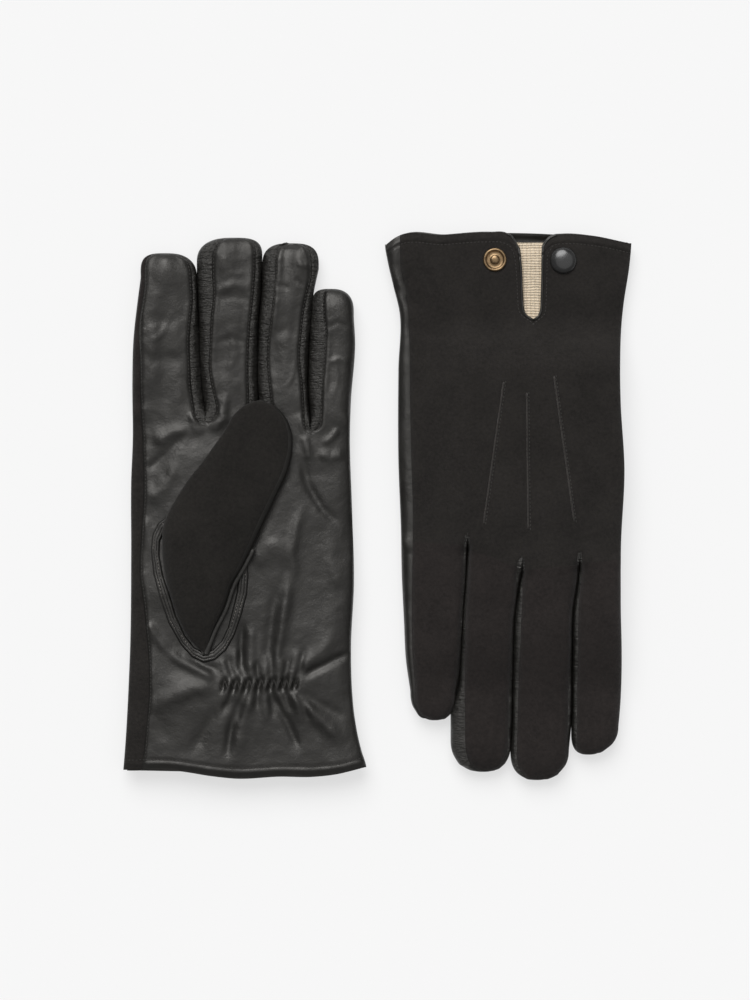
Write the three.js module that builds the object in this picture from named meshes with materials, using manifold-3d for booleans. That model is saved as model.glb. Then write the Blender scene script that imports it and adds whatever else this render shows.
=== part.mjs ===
// A pair of men's dress gloves laid flat side by side with their cuffs at opposite ends.
// The left-hand glove lies palm up, the right-hand glove lies back up. Nappa palms, suede backs,
// knitted linings, and a snap-fastened vent in the back of each wrist.
// Millimetres, +Z up. Each glove is built in its own frame: the cuff is at y = 0, the fingers
// point along +Y, and the index finger is on the -X side.
import * as THREE from "three";
import { mergeVertices } from "three/addons/utils/BufferGeometryUtils.js";
import Module from "manifold-3d";

const wasm = await Module();
wasm.setup();

// Materials' thicknesses and the clearance between layers.
const SKIN = 0.9;
const KNIT = 1.0;
const HEM = 0.8;
const CLEARANCE = 0.3;

// How far below the outer surface each layer starts.
const HEM_INSET = SKIN + CLEARANCE;
const HAND_LINING_INSET = HEM_INSET + HEM + CLEARANCE;
const FINGER_LINING_INSET = SKIN + CLEARANCE;

// Where the gloves lie.
const LEFT_PLACE = new THREE.Vector3(-61.6, -123.5, 0);
const RIGHT_PLACE = new THREE.Vector3(61.1, 124.9, 0);

// Round the flattened tubes: 0 is the little-finger side, a quarter is the top, a half is the
// index side and three quarters the underside.
const HAND_SIDES = 24;
const FINGER_SIDES = 16;
const ROUNDNESS = 2 / 2.6;
const FLAT_SHARE = 0.8;

// Spans of each piece, in turns, on a glove that lies palm up.
const PALM_SPAN = [-0.09, 0.42];
const BACK_SPAN = [0.435, 0.895];
const LOBE_EDGE = 0.065;
const GUSSET_EDGE = 0.05;
const TIP_EDGE = 0.012;
const INDEX_WRAP = { base: 0.36, tip: 0.4 };
const LITTLE_WRAP = { base: 0.15, tip: 0.1 };
const SEAM_TURN = 0.015;
const THUMB_LEATHER_SPAN = [0.53, 1.06];
const THUMB_SUEDE_SPAN = [0.075, 0.515];

// A finger starts this far past its hinge line, so that it can fold up without touching the hand.
const FINGER_PAST_HINGE = 8;

// Wrist fittings, on the back of each glove.
const HEM_Y = [-1, 4.5];
const ELASTIC_Y = [36.5, 41.5];
const ELASTIC_SPAN = [0.183, 0.279];
const STUD = new THREE.Vector2(6.6, 10.3);
const CAP = new THREE.Vector2(-25.2, 10.7);
const CAP_RADIUS = 6.2;
const CAP_RISE = 2.6;
const STUD_RADIUS = 5.5;
const RIVET_RADIUS = 3.4;
const POST_RADIUS = 2;
const SHANK_RADIUS = 1.5;
const SHANK_HOLE_RADIUS = 1.9;
const SOCKET_RADIUS = 4.4;
const SOCKET_DEPTH = 2;
const FOLD_TOP = new THREE.Vector2(-13, 38);
const FOLD_CUFF = new THREE.Vector2(-50.8, -3);
const VENT_EDGE_CUFF = new THREE.Vector2(-3.4, -2);
const VENT_EDGE_TOP = new THREE.Vector2(-10.4, 38);
const FLAP_CUFF = new THREE.Vector2(-16.3, -5);
const FLAP_TOP = new THREE.Vector2(-12.6, 36.2);
const FLAP_GAP = 1.4;
const PIPING_WIDTH = 1.3;
const PIPING_RISE = 0.4;
const FITTING_SIDES = 20;

// Cuts run past the cuff's edge, and through one face of a glove only: from below its
// underside to inside it, or from inside it to above its top.
const PAST_CUFF = -5;
const THROUGH_BACK = { palmUp: [-2, 9], backUp: [6, 40] };
const THROUGH_PALM = { palmUp: [8, 40], backUp: [-2, 14.5] };

// The thumb hole in the palm.
const THUMB_HOLE = { x: -22, y: 85, across: 15, along: 24, turn: 0.33 };

// The left glove rests on its back; the snap under its cuff holds that end up a little.
const LEFT = {
  palmUp: true,
  place: LEFT_PLACE,
  hand: {
    // y, index edge, little-finger edge, underside, top
    rows: [
      [-2.4, -56.5, 56.3, 3.2, 15.2],
      [20, -55.2, 52.4, 3.2, 15.2],
      [42, -54.1, 49.8, 3.2, 15.2],
      [58, -53.5, 49.3, 0, 15],
      [90, -53, 50.7, 0, 15],
      [122, -53, 49.9, 0, 15],
    ],
    end: { index: [-52.5, 172], little: [49, 165.5], arch: 4, low: 0, high: 14 },
  },
  // Each finger's hinge line, and its outline as sections from its base to its tip.
  fingers: {
    index: {
      hinge: 176,
      y: [195, 215, 230, 238, 241.4],
      left: [-52.6, -52.2, -50.3, -48.4, -44.5, -41],
      right: [-20.6, -21.4, -22.2, -22.9, -26.5, -33],
    },
    middle: {
      hinge: 176,
      y: [195, 215, 236, 244.5, 248.4],
      left: [-19.4, -20.4, -21.2, -21.3, -17.5, -11],
      right: [5.9, 5.7, 6.8, 7.2, 5.6, -1],
    },
    ring: {
      hinge: 176,
      y: [195, 215, 234, 242.5, 245.7],
      left: [6.9, 6.6, 7.6, 8.2, 10.5, 15.5],
      right: [29, 29.2, 30.8, 33.6, 30.2, 24],
    },
    little: {
      hinge: 170,
      y: [188, 200, 212, 221, 224.6],
      left: [30.6, 29.9, 30.4, 31.4, 33.6, 36.5],
      right: [49, 49.8, 51, 50.3, 46.5, 41],
    },
  },
  fingerHeight: 13,
  // The thumb lies on the palm.
  thumb: { low: 16, rootHigh: 23, high: 26, tipHigh: 21 },
  lift: () => 0,
};

// The right glove lies on its palm with the thumb tucked flat beneath it, so its back is domed.
const THUMB_LIFT = 8.6;
const RIGHT = {
  palmUp: false,
  place: RIGHT_PLACE,
  hand: {
    rows: [
      [-2.4, -57, 57.7, 0, 12],
      [20, -55, 54.4, 0, 12],
      [42, -52.6, 51.3, 0, 12],
      [56, -51.5, 52, 0, 12.8],
      [90, -52.3, 52.1, 0, 13.4],
      [122, -52.8, 51, 0, 13.4],
    ],
    end: { index: [-51.8, 161], little: [49.6, 151], arch: 4, low: 0, high: 13 },
  },
  fingers: {
    index: {
      hinge: 162.5,
      y: [195, 214, 230, 237, 240.1],
      left: [-51.8, -52, -52.1, -50.5, -46, -41.5],
      right: [-30.6, -30, -29.9, -29.6, -30.5, -34],
    },
    middle: {
      hinge: 161.5,
      y: [195, 217, 239, 247.5, 252.2],
      left: [-29.6, -28.7, -28.7, -27.5, -24.4, -17.5],
      right: [-3.6, -2.6, -2.3, -1.4, -3, -9],
    },
    ring: {
      hinge: 161,
      y: [192, 211, 232, 243, 247.5],
      left: [-2.6, -1.6, -1.3, -0.8, 1.5, 7],
      right: [20.6, 21.8, 23.5, 24.8, 20, 14],
    },
    little: {
      hinge: 157.5,
      y: [180, 196, 209, 219, 224],
      left: [21.6, 22.4, 23.1, 24.4, 27.5, 32],
      right: [49, 48.6, 47.9, 46.1, 43.3, 38.5],
    },
  },
  fingerHeight: 12.6,
  thumb: { low: 0, rootHigh: 8, high: 8, tipHigh: 5 },
  lift: (x, y) =>
    THUMB_LIFT *
    (1 - THREE.MathUtils.smoothstep(x, 22, 48)) *
    THREE.MathUtils.smoothstep(y, 42, 56) *
    (1 - THREE.MathUtils.smoothstep(y, 183, 212)),
};

// The thumb's two long edges, from its root on the ball of the hand to its tip.
const THUMB_LEFT = [[-39, 108], [-36.6, 119], [-26, 136.5], [-13.9, 152], [-5.4, 165.3], [2.5, 171.6]];
const THUMB_RIGHT = [[-17.5, 60], [-8.6, 77], [10.2, 118.6], [21.4, 144.5], [19.4, 164.3], [11.5, 171.6]];

// Leathers and fittings, each with its colour, roughness and metalness.
const FINISHES = {
  nappa: [0x373634, 0.5, 0],
  suede: [0x2e2d2b, 0.95, 0],
  thumbSuede: [0x252422, 0.95, 0],
  gusset: [0x3b3c37, 0.55, 0],
  knit: [0xd3c5ae, 0.95, 0],
  elastic: [0x1c1b1a, 0.9, 0],
  cap: [0x1a1a1a, 0.25, 0.2],
  brass: [0x97826a, 0.35, 0.9],
};

// ---------------------------------------------------------------- geometry helpers

// One flattened section of a tube: its two side points, its underside and its top, and how far its
// middle arches forward.
function section(left, right, low, high, arch = 0) {
  return { left: new THREE.Vector2(...left), right: new THREE.Vector2(...right), low, high, arch };
}

function rounded(value) {
  return Math.sign(value) * Math.abs(value) ** ROUNDNESS;
}

// A point on a section, the given share of a turn round it and the inset below its surface.
function ringPoint(sec, turn, inset, lift) {
  const across = rounded(Math.cos(2 * Math.PI * turn));
  const upward = rounded(Math.sin(2 * Math.PI * turn)) / FLAT_SHARE;
  const middle = sec.left.clone().add(sec.right).multiplyScalar(0.5);
  const reach = sec.right.clone().sub(sec.left).multiplyScalar(0.5);
  const outer = middle.clone().addScaledVector(reach, across);
  const here = middle.addScaledVector(reach, across * (1 - inset / reach.length()));
  const halfHeight = (sec.high - sec.low) / 2 - inset;
  const z = (sec.high + sec.low) / 2 + halfHeight * THREE.MathUtils.clamp(upward, -1, 1);
  const forward = sec.arch * (1 - across * across);
  return [here.x, here.y + forward, z + lift(outer.x, outer.y)];
}

function geometryOf(points, faces) {
  const geometry = new THREE.BufferGeometry();
  geometry.setAttribute("position", new THREE.Float32BufferAttribute(points.flat(), 3));
  geometry.setIndex(faces.flat());
  return geometry;
}

// The shares of a turn at which a piece is sampled: the tube's own sides, and the piece's two edges.
function samples([from, to], sides) {
  const between = [];
  for (let k = Math.floor(from * sides) + 1; k < to * sides - 1e-6; k++) {
    const turn = k / sides;
    if (turn - from > 0.2 / sides && to - turn > 0.2 / sides) between.push(turn);
  }
  return [from, ...between, to];
}

// A piece of skin: the part of a tube's wall inside a span that may narrow from section to section.
function panel(sections, spans, sides, [outset, inset], lift) {
  const base = samples(spans[0], sides);
  const share = base.map((turn) => (turn - spans[0][0]) / (spans[0][1] - spans[0][0]));
  const points = [];
  const faces = [];
  const columns = base.length;
  const rows = sections.length;
  const layer = rows * columns;
  for (const depth of [outset, inset])
    sections.forEach((sec, i) =>
      share.forEach((s) => points.push(ringPoint(sec, THREE.MathUtils.lerp(...spans[i], s), depth, lift))),
    );
  const at = (i, j) => i * columns + j;
  const quad = (a, b, c, d) => faces.push([a, b, c], [a, c, d]);
  for (let i = 0; i < rows - 1; i++)
    for (let j = 0; j < columns - 1; j++) {
      quad(at(i, j), at(i + 1, j), at(i + 1, j + 1), at(i, j + 1));
      quad(layer + at(i, j), layer + at(i, j + 1), layer + at(i + 1, j + 1), layer + at(i + 1, j));
    }
  for (let i = 0; i < rows - 1; i++) {
    quad(at(i, 0), layer + at(i, 0), layer + at(i + 1, 0), at(i + 1, 0));
    const last = columns - 1;
    quad(at(i + 1, last), layer + at(i + 1, last), layer + at(i, last), at(i, last));
  }
  for (let j = 0; j < columns - 1; j++) {
    quad(at(0, j + 1), layer + at(0, j + 1), layer + at(0, j), at(0, j));
    const end = rows - 1;
    quad(at(end, j), layer + at(end, j), layer + at(end, j + 1), at(end, j + 1));
  }
  return geometryOf(points, faces);
}

// A whole tube with a wall, open at both ends, or closed at the far one when the hollow is shorter.
function tube(outside, inside, sides, [outset, inset], lift) {
  const points = [];
  const faces = [];
  const ring = (sec, depth) => {
    const first = points.length;
    for (let k = 0; k < sides; k++) points.push(ringPoint(sec, k / sides, depth, lift));
    return first;
  };
  const join = (a, b, outward) => {
    for (let k = 0; k < sides; k++) {
      const n = (k + 1) % sides;
      if (outward) faces.push([a + k, b + k, b + n], [a + k, b + n, a + n]);
      else faces.push([a + k, b + n, b + k], [a + k, a + n, b + n]);
    }
  };
  const cap = (a, forward) => {
    for (let k = 1; k < sides - 1; k++)
      faces.push(forward ? [a, a + k + 1, a + k] : [a, a + k, a + k + 1]);
  };
  const outer = outside.map((sec) => ring(sec, outset));
  const inner = inside.map((sec) => ring(sec, inset));
  for (let i = 0; i < outer.length - 1; i++) join(outer[i], outer[i + 1], true);
  for (let i = 0; i < inner.length - 1; i++) join(inner[i], inner[i + 1], false);
  join(outer[0], inner[0], false);
  if (outside.length === inside.length) join(outer.at(-1), inner.at(-1), true);
  else {
    cap(outer.at(-1), true);
    cap(inner.at(-1), false);
  }
  return geometryOf(points, faces);
}

function solidOf(geometry) {
  const bare = new THREE.BufferGeometry();
  bare.setAttribute("position", geometry.getAttribute("position"));
  if (geometry.index) bare.setIndex(geometry.index);
  const merged = mergeVertices(bare, 1e-3);
  return new wasm.Manifold(
    new wasm.Mesh({
      numProp: 3,
      vertProperties: merged.attributes.position.array,
      triVerts: new Uint32Array(merged.index.array),
    }),
  );
}

function geometryFrom(solid) {
  const mesh = solid.getMesh();
  const geometry = new THREE.BufferGeometry();
  geometry.setAttribute("position", new THREE.BufferAttribute(mesh.vertProperties, 3));
  geometry.setIndex(new THREE.BufferAttribute(mesh.triVerts, 1));
  return geometry;
}

// An upright prism through one face of a glove, for cutting its panels.
function prism(outline, [low, high]) {
  const settings = { depth: high - low, bevelEnabled: false, curveSegments: 10 };
  return solidOf(new THREE.ExtrudeGeometry(outline, settings).translate(0, 0, low));
}

function disc(centre, radius) {
  const outline = new THREE.Shape();
  outline.absarc(centre.x, centre.y, radius, 0, 2 * Math.PI);
  return outline;
}

function polygon(...corners) {
  return new THREE.Shape(corners.map(([x, y]) => new THREE.Vector2(x, y)));
}

// ---------------------------------------------------------------- one glove

// A glove's own choice between the two ways a glove can lie.
function lying(glove, { palmUp, backUp }) {
  return glove.palmUp ? palmUp : backUp;
}

// The height of the outer face of the back at the cuff.
function backFace(glove) {
  const [, , , low, high] = glove.hand.rows[0];
  return glove.palmUp ? low : high;
}

// The hand's section at y, between its rows.
function handSection({ rows }, y) {
  const next = Math.max(1, rows.findIndex((row) => row[0] >= y));
  const [a, b] = [rows[next - 1], rows[next]];
  const share = (y - a[0]) / (b[0] - a[0]);
  const [left, right, low, high] = [1, 2, 3, 4].map((k) => THREE.MathUtils.lerp(a[k], b[k], share));
  return section([left, y], [right, y], low, high);
}

function handSections({ rows, end }) {
  const straight = rows.map(([y, left, right, low, high]) => section([left, y], [right, y], low, high));
  return [...straight, section(end.index, end.little, end.low, end.high, end.arch)];
}

function fingerSections(glove, finger) {
  const { hinge, y, left, right } = glove.fingers[finger];
  const height = glove.fingerHeight;
  const ys = [hinge + FINGER_PAST_HINGE, ...y];
  const lows = [0, 0, 0, 0.4, 2.2, height / 2 - 1.5];
  return ys.map((at, i) => section([left[i], at], [right[i], at], lows[i], height - lows[i]));
}

// Turns a span round for a glove that lies on its palm.
function facing(glove, [from, to]) {
  return glove.palmUp ? [from, to] : [-to, -from];
}

function sectionSpans(glove, span, sections) {
  return sections.map(() => facing(glove, span));
}

// The spans of a finger's lobe, which draws in to the fingertip seam over the last two sections.
function lobeSpans(glove, [from, to], tip) {
  const spans = [];
  for (let i = 0; i < 6; i++) {
    const share = Math.max(0, i - 3) / 2;
    spans.push(
      facing(glove, [THREE.MathUtils.lerp(from, tip[0], share), THREE.MathUtils.lerp(to, tip[1], share)]),
    );
  }
  return spans;
}

function mesh(name, geometry, finish) {
  const [color, roughness, metalness] = FINISHES[finish];
  const made = new THREE.Mesh(geometry, new THREE.MeshStandardMaterial({ color, roughness, metalness }));
  made.name = name;
  return made;
}

// One side of the hand, as a closed sheet of leather.
function handSkin(glove, span) {
  const sections = handSections(glove.hand);
  const spans = sectionSpans(glove, span, sections);
  return solidOf(panel(sections, spans, HAND_SIDES, [0, SKIN], glove.lift));
}

// The two sides of the hand, the turned hem, the elastic and the lining.
function handMeshes(glove, side) {
  const sections = handSections(glove.hand);
  const lift = glove.lift;
  const throughBack = lying(glove, THROUGH_BACK);

  const hole = new THREE.Shape();
  const { x, y, across, along, turn } = THUMB_HOLE;
  hole.absellipse(x, y, across, along, 0, 2 * Math.PI, false, turn);
  const thumbHole = prism(hole, lying(glove, THROUGH_PALM));
  const opening = polygon(
    [FOLD_CUFF.x - 0.6, FOLD_CUFF.y],
    [FOLD_CUFF.x - 0.6, PAST_CUFF],
    [VENT_EDGE_CUFF.x + PIPING_WIDTH + 2 * CLEARANCE, PAST_CUFF],
    [VENT_EDGE_CUFF.x + PIPING_WIDTH + 2 * CLEARANCE, 0],
    [VENT_EDGE_TOP.x + PIPING_WIDTH + 2 * CLEARANCE, FOLD_TOP.y + 2],
    [FOLD_TOP.x, FOLD_TOP.y + 2],
  );
  const ventCut = prism(opening, throughBack);
  const liningOpening = polygon(
    [FOLD_CUFF.x - 3.5, FOLD_CUFF.y],
    [FOLD_CUFF.x - 3.5, PAST_CUFF],
    [VENT_EDGE_CUFF.x + 3, PAST_CUFF],
    [VENT_EDGE_CUFF.x + 3, 0],
    [VENT_EDGE_TOP.x + 3, FOLD_TOP.y + 4],
    [FOLD_TOP.x - 2, FOLD_TOP.y + 4],
  );
  const liningCut = prism(liningOpening, throughBack);
  const studHole = prism(disc(STUD, SHANK_HOLE_RADIUS), throughBack);

  const palm = handSkin(glove, PALM_SPAN).subtract(thumbHole);
  const back = handSkin(glove, BACK_SPAN).subtract(ventCut).subtract(studHole);
  const hemSections = HEM_Y.map((y) => handSection(glove.hand, y));
  const hemBand = tube(hemSections, hemSections, HAND_SIDES, [HEM_INSET, HEM_INSET + HEM], lift);
  const liningWall = [HAND_LINING_INSET, HAND_LINING_INSET + KNIT];
  const lining = solidOf(tube(sections, sections, HAND_SIDES, liningWall, lift));
  const elasticSections = ELASTIC_Y.map((y) => handSection(glove.hand, y));
  const elastic = panel(
    elasticSections,
    sectionSpans(glove, ELASTIC_SPAN, elasticSections),
    HAND_SIDES,
    [HEM_INSET, HEM_INSET + HEM],
    lift,
  );
  return [
    mesh(`${side}_palm_leather`, geometryFrom(palm), "nappa"),
    mesh(`${side}_back_suede`, geometryFrom(back), "suede"),
    mesh(`${side}_cuff_hem`, geometryFrom(solidOf(hemBand).subtract(liningCut)), "nappa"),
    mesh(`${side}_wrist_elastic`, elastic, "elastic"),
    mesh(`${side}_hand_lining`, geometryFrom(lining.subtract(liningCut).subtract(thumbHole)), "knit"),
  ];
}

// The corner of the back that folds open at the vent, and the piping along the vent's fixed edge.
function flapMeshes(glove, side) {
  const throughBack = lying(glove, THROUGH_BACK);
  const outline = polygon(
    [FLAP_CUFF.x, PAST_CUFF],
    [FLAP_TOP.x, FLAP_TOP.y],
    [FOLD_CUFF.x + FLAP_GAP, FOLD_CUFF.y],
    [FOLD_CUFF.x + FLAP_GAP, PAST_CUFF],
  );
  const flap = handSkin(glove, BACK_SPAN)
    .intersect(prism(outline, throughBack))
    .subtract(prism(disc(CAP, SHANK_HOLE_RADIUS), throughBack));
  const surface = backFace(glove);
  const strip = polygon(
    [VENT_EDGE_CUFF.x + CLEARANCE, 0],
    [VENT_EDGE_CUFF.x + CLEARANCE + PIPING_WIDTH, 0],
    [VENT_EDGE_TOP.x + CLEARANCE + PIPING_WIDTH, FOLD_TOP.y + 1.6],
    [FOLD_TOP.x + 0.6, FOLD_TOP.y + 1.6],
    [FOLD_TOP.x + 0.6, FOLD_TOP.y + 0.4],
    [VENT_EDGE_TOP.x + CLEARANCE, FOLD_TOP.y + 0.4],
  );
  const depth = glove.palmUp
    ? [surface - PIPING_RISE, surface + SKIN]
    : [surface - SKIN, surface + PIPING_RISE];
  return [
    mesh(`${side}_snap_flap`, geometryFrom(flap), "suede"),
    mesh(`${side}_vent_piping`, geometryFrom(prism(strip, depth)), "nappa"),
  ];
}

// A turned fitting, drawn as [radius, height] above the outer face of the back.
function turned(name, profile, centre, glove, finish) {
  const points = profile.map(([radius, height]) => new THREE.Vector2(radius, height));
  const made = mesh(name, new THREE.LatheGeometry(points, FITTING_SIDES), finish);
  made.rotation.x = glove.palmUp ? -Math.PI / 2 : Math.PI / 2;
  made.position.set(centre.x, centre.y, backFace(glove));
  return made;
}

function snapMeshes(glove, side) {
  const under = -SKIN - CLEARANCE;
  const cap = [
    [0, under - SOCKET_DEPTH + 0.6],
    [SHANK_RADIUS, under - SOCKET_DEPTH + 0.6],
    [SHANK_RADIUS, CLEARANCE],
    [CAP_RADIUS, CLEARANCE],
    [CAP_RADIUS, 0.9],
    [CAP_RADIUS * 0.82, CAP_RISE * 0.72],
    [CAP_RADIUS * 0.45, CAP_RISE * 0.95],
    [0, CAP_RISE],
  ];
  const socket = [
    [SHANK_RADIUS + CLEARANCE, under - SOCKET_DEPTH],
    [SOCKET_RADIUS, under - SOCKET_DEPTH],
    [SOCKET_RADIUS, under],
    [SHANK_RADIUS + CLEARANCE, under],
    [SHANK_RADIUS + CLEARANCE, under - SOCKET_DEPTH],
  ];
  const stud = [
    [0, under - 0.5],
    [RIVET_RADIUS, under - 0.5],
    [RIVET_RADIUS, under],
    [SHANK_RADIUS, under],
    [SHANK_RADIUS, CLEARANCE],
    [STUD_RADIUS, CLEARANCE],
    [STUD_RADIUS, CLEARANCE + 0.5],
    [POST_RADIUS - 0.3, CLEARANCE + 0.5],
    [POST_RADIUS - 0.3, 1.4],
    [POST_RADIUS, 1.9],
    [POST_RADIUS - 0.4, CAP_RISE],
    [0, CAP_RISE],
  ];
  return {
    stud: turned(`${side}_snap_stud`, stud, STUD, glove, "brass"),
    cap: turned(`${side}_snap_cap`, cap, CAP, glove, "cap"),
    socket: turned(`${side}_snap_socket`, socket, CAP, glove, "brass"),
  };
}

// The spans of a finger's palm and back lobes. The back wraps round the index finger's free side, and
// the palm round the little finger's.
function lobeEdges(finger, place, edge) {
  const palm = [
    finger === "little" ? -LITTLE_WRAP[place] : edge,
    finger === "index" ? INDEX_WRAP[place] : 0.5 - edge,
  ];
  const back = [
    finger === "index" ? INDEX_WRAP[place] + SEAM_TURN : 0.5 + edge,
    1 - (finger === "little" ? LITTLE_WRAP[place] + SEAM_TURN : edge),
  ];
  return [palm, back];
}

// One finger: its two lobes, the gussets between them, and its lining.
function fingerMeshes(glove, side, finger) {
  const sections = fingerSections(glove, finger);
  const lift = glove.lift;
  const [palm, back] = lobeEdges(finger, "base", LOBE_EDGE);
  const [palmTip, backTip] = lobeEdges(finger, "tip", TIP_EDGE);
  const gussetSections = sections.slice(0, 4);
  const gusset = (span) =>
    panel(gussetSections, sectionSpans(glove, span, gussetSections), FINGER_SIDES, [0, SKIN], lift);
  const lobe = (span, tip) => panel(sections, lobeSpans(glove, span, tip), FINGER_SIDES, [0, SKIN], lift);
  const liningWall = [FINGER_LINING_INSET, FINGER_LINING_INSET + KNIT];
  const lining = tube(sections.slice(0, 5), sections.slice(0, 4), FINGER_SIDES, liningWall, lift);
  const made = [
    mesh(`${side}_${finger}_palm_lobe`, lobe(palm, palmTip), "nappa"),
    mesh(`${side}_${finger}_back_lobe`, lobe(back, backTip), "suede"),
    mesh(`${side}_${finger}_lining`, lining, "knit"),
  ];
  if (finger !== "little") {
    const span = [-GUSSET_EDGE, GUSSET_EDGE];
    made.push(mesh(`${side}_${finger}_outer_gusset`, gusset(span), "gusset"));
  }
  if (finger !== "index") {
    const span = [0.5 - GUSSET_EDGE, 0.5 + GUSSET_EDGE];
    made.push(mesh(`${side}_${finger}_inner_gusset`, gusset(span), "gusset"));
  }
  return made;
}

// The thumb: a suede outer side and a leather side that faces the palm.
function thumbMeshes(glove, side) {
  const { low, rootHigh, high, tipHigh } = glove.thumb;
  const highs = [rootHigh, high, high, high, high - 1.5, tipHigh];
  const lows = [low, low, low, low, low + 0.6, low + (tipHigh - low) * 0.35];
  const sections = THUMB_LEFT.map((left, i) => section(left, THUMB_RIGHT[i], lows[i], highs[i]));
  const skin = (span) =>
    panel(sections, sectionSpans(glove, span, sections), FINGER_SIDES, [0, SKIN], () => 0);
  return [
    mesh(`${side}_thumb_suede`, skin(THUMB_SUEDE_SPAN), "thumbSuede"),
    mesh(`${side}_thumb_leather`, skin(THUMB_LEATHER_SPAN), "nappa"),
  ];
}

function gloveGroup(glove, side) {
  const group = new THREE.Group();
  group.position.copy(glove.place);
  group.rotation.z = glove.palmUp ? 0 : Math.PI;
  const snap = snapMeshes(glove, side);
  group.add(...handMeshes(glove, side), ...flapMeshes(glove, side), snap.stud, snap.cap, snap.socket);
  for (const finger of Object.keys(glove.fingers)) group.add(...fingerMeshes(glove, side, finger));
  group.add(...thumbMeshes(glove, side));
  return group;
}

const pair = new THREE.Group();
pair.add(gloveGroup(LEFT, "left"), gloveGroup(RIGHT, "right"));
export default pair;
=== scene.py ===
"""A pair of men's dress gloves lying flat: the left one palm up, the right one back up.

Laid out as a Blender add-on and run as a script. Each glove is worked out in its own flat frame, in
millimetres: the cuff is at y = 0, the fingers point along +Y and the index finger is on the -X side.
"""
import math
from functools import partial

import bmesh
import bpy
import numpy as np
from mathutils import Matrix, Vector


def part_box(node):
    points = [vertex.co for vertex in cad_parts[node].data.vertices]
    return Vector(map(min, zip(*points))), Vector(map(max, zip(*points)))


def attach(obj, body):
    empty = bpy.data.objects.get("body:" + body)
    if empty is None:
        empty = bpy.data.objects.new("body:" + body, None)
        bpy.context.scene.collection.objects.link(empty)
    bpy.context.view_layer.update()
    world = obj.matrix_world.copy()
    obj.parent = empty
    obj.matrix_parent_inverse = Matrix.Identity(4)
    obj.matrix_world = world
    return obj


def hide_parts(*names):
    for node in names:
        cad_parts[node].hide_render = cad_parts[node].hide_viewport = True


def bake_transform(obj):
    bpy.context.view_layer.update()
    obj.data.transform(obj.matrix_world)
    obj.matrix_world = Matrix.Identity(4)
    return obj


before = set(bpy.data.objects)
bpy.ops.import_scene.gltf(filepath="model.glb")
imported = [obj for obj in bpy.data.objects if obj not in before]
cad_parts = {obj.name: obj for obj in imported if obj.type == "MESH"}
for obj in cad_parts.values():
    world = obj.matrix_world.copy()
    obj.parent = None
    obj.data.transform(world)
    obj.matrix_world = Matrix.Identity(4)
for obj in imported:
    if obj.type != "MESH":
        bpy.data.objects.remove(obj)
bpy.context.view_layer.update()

bl_info = {
    "name": "Dress Gloves",
    "version": (1, 0, 0),
    "blender": (4, 5, 0),
    "location": "3D View > Sidebar > Gloves",
    "description": "Builds a pair of leather gloves with suede backs, knitted lining and a wrist snap",
    "category": "Add Mesh",
}

MM = 0.001
FINGERS = ("index", "middle", "ring", "little")
RIPPLE_CELLS = 256
RIPPLE_START = (97.3, 83.7)

# ------------------------------------------------------------------ sizes and colours


def length_property(name, description, default):
    """A size that a maker would change; its default is given in millimetres."""
    return bpy.props.FloatProperty(
        name=name, description=description, default=default * MM, unit="LENGTH", precision=5)


def colour_property(name, description, default):
    """A base colour, linear."""
    return bpy.props.FloatVectorProperty(name=name, description=description, default=default,
                                         subtype="COLOR")


class GloveSizes(bpy.types.PropertyGroup):
    """Thicknesses, heights and stitches."""

    skin: length_property("Leather", "Thickness of leather and suede", 0.8)
    hand_height: length_property("Hand height", "Thickness of the empty hand", 12.8)
    finger_height: length_property("Finger height", "Thickness of an empty finger", 12.3)
    seam_depth: length_property("Seam depth", "How far the seams draw in", 0.75)
    stitch_length: length_property("Stitch length", "Length of one stitch", 1.15)
    stitch_spacing: length_property("Stitch spacing", "From one stitch to the next", 1.7)
    thread: length_property("Thread", "Thickness of the sewing thread", 0.42)


class GloveColours(bpy.types.PropertyGroup):
    """Base colours of the finishes."""

    nappa: colour_property("Nappa", "Smooth palm leather", (0.0052, 0.0049, 0.0043))
    suede: colour_property("Suede", "Napped back", (0.0134, 0.0119, 0.0108))
    finger_suede: colour_property("Finger suede", "Napped backs of the fingers", (0.0146, 0.0121, 0.0113))
    thumb_suede: colour_property("Thumb suede", "Napped thumb", (0.0112, 0.0101, 0.0090))
    knit: colour_property("Knit", "Ribbed lining", (0.62, 0.52, 0.39))
    brass: colour_property("Brass", "Snap stud and socket", (0.25, 0.17, 0.095))
    cap: colour_property("Cap", "Black lacquered snap cap", (0.012, 0.012, 0.012))
    thread: colour_property("Thread", "Black sewing thread", (0.020, 0.018, 0.016))


def glove_size(name):
    """One of the glove's sizes, in millimetres."""
    return getattr(bpy.context.scene.glove_sizes, name) / MM


# ------------------------------------------------------------------ curves and noise


def smoothstep(value, low, high):
    """Eases from 0 at low to 1 at high."""
    share = np.clip((np.asarray(value, float) - low) / (high - low), 0.0, 1.0)
    return share * share * (3 - 2 * share)


def blend_between(a, b, share):
    """The value this share of the way from a to b."""
    return a + (b - a) * share


class Line:
    """A smooth line through points, looked up by its first coordinate; level past both ends."""

    def __init__(self, *points):
        data = np.array(sorted(points), float)
        self.keys, self.values = data[:, 0], data[:, 1]
        self.slopes = np.gradient(self.values, self.keys)

    def __call__(self, key):
        key = np.clip(np.asarray(key, float), self.keys[0], self.keys[-1])
        k = np.clip(np.searchsorted(self.keys, key, side="right") - 1, 0, len(self.keys) - 2)
        step = self.keys[k + 1] - self.keys[k]
        t = (key - self.keys[k]) / step
        rise = self.values[k + 1] - self.values[k]
        return (self.values[k] + rise * t * t * (3 - 2 * t)
                + self.slopes[k] * step * t * (1 - t) ** 2 - self.slopes[k + 1] * step * t * t * (1 - t))


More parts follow.
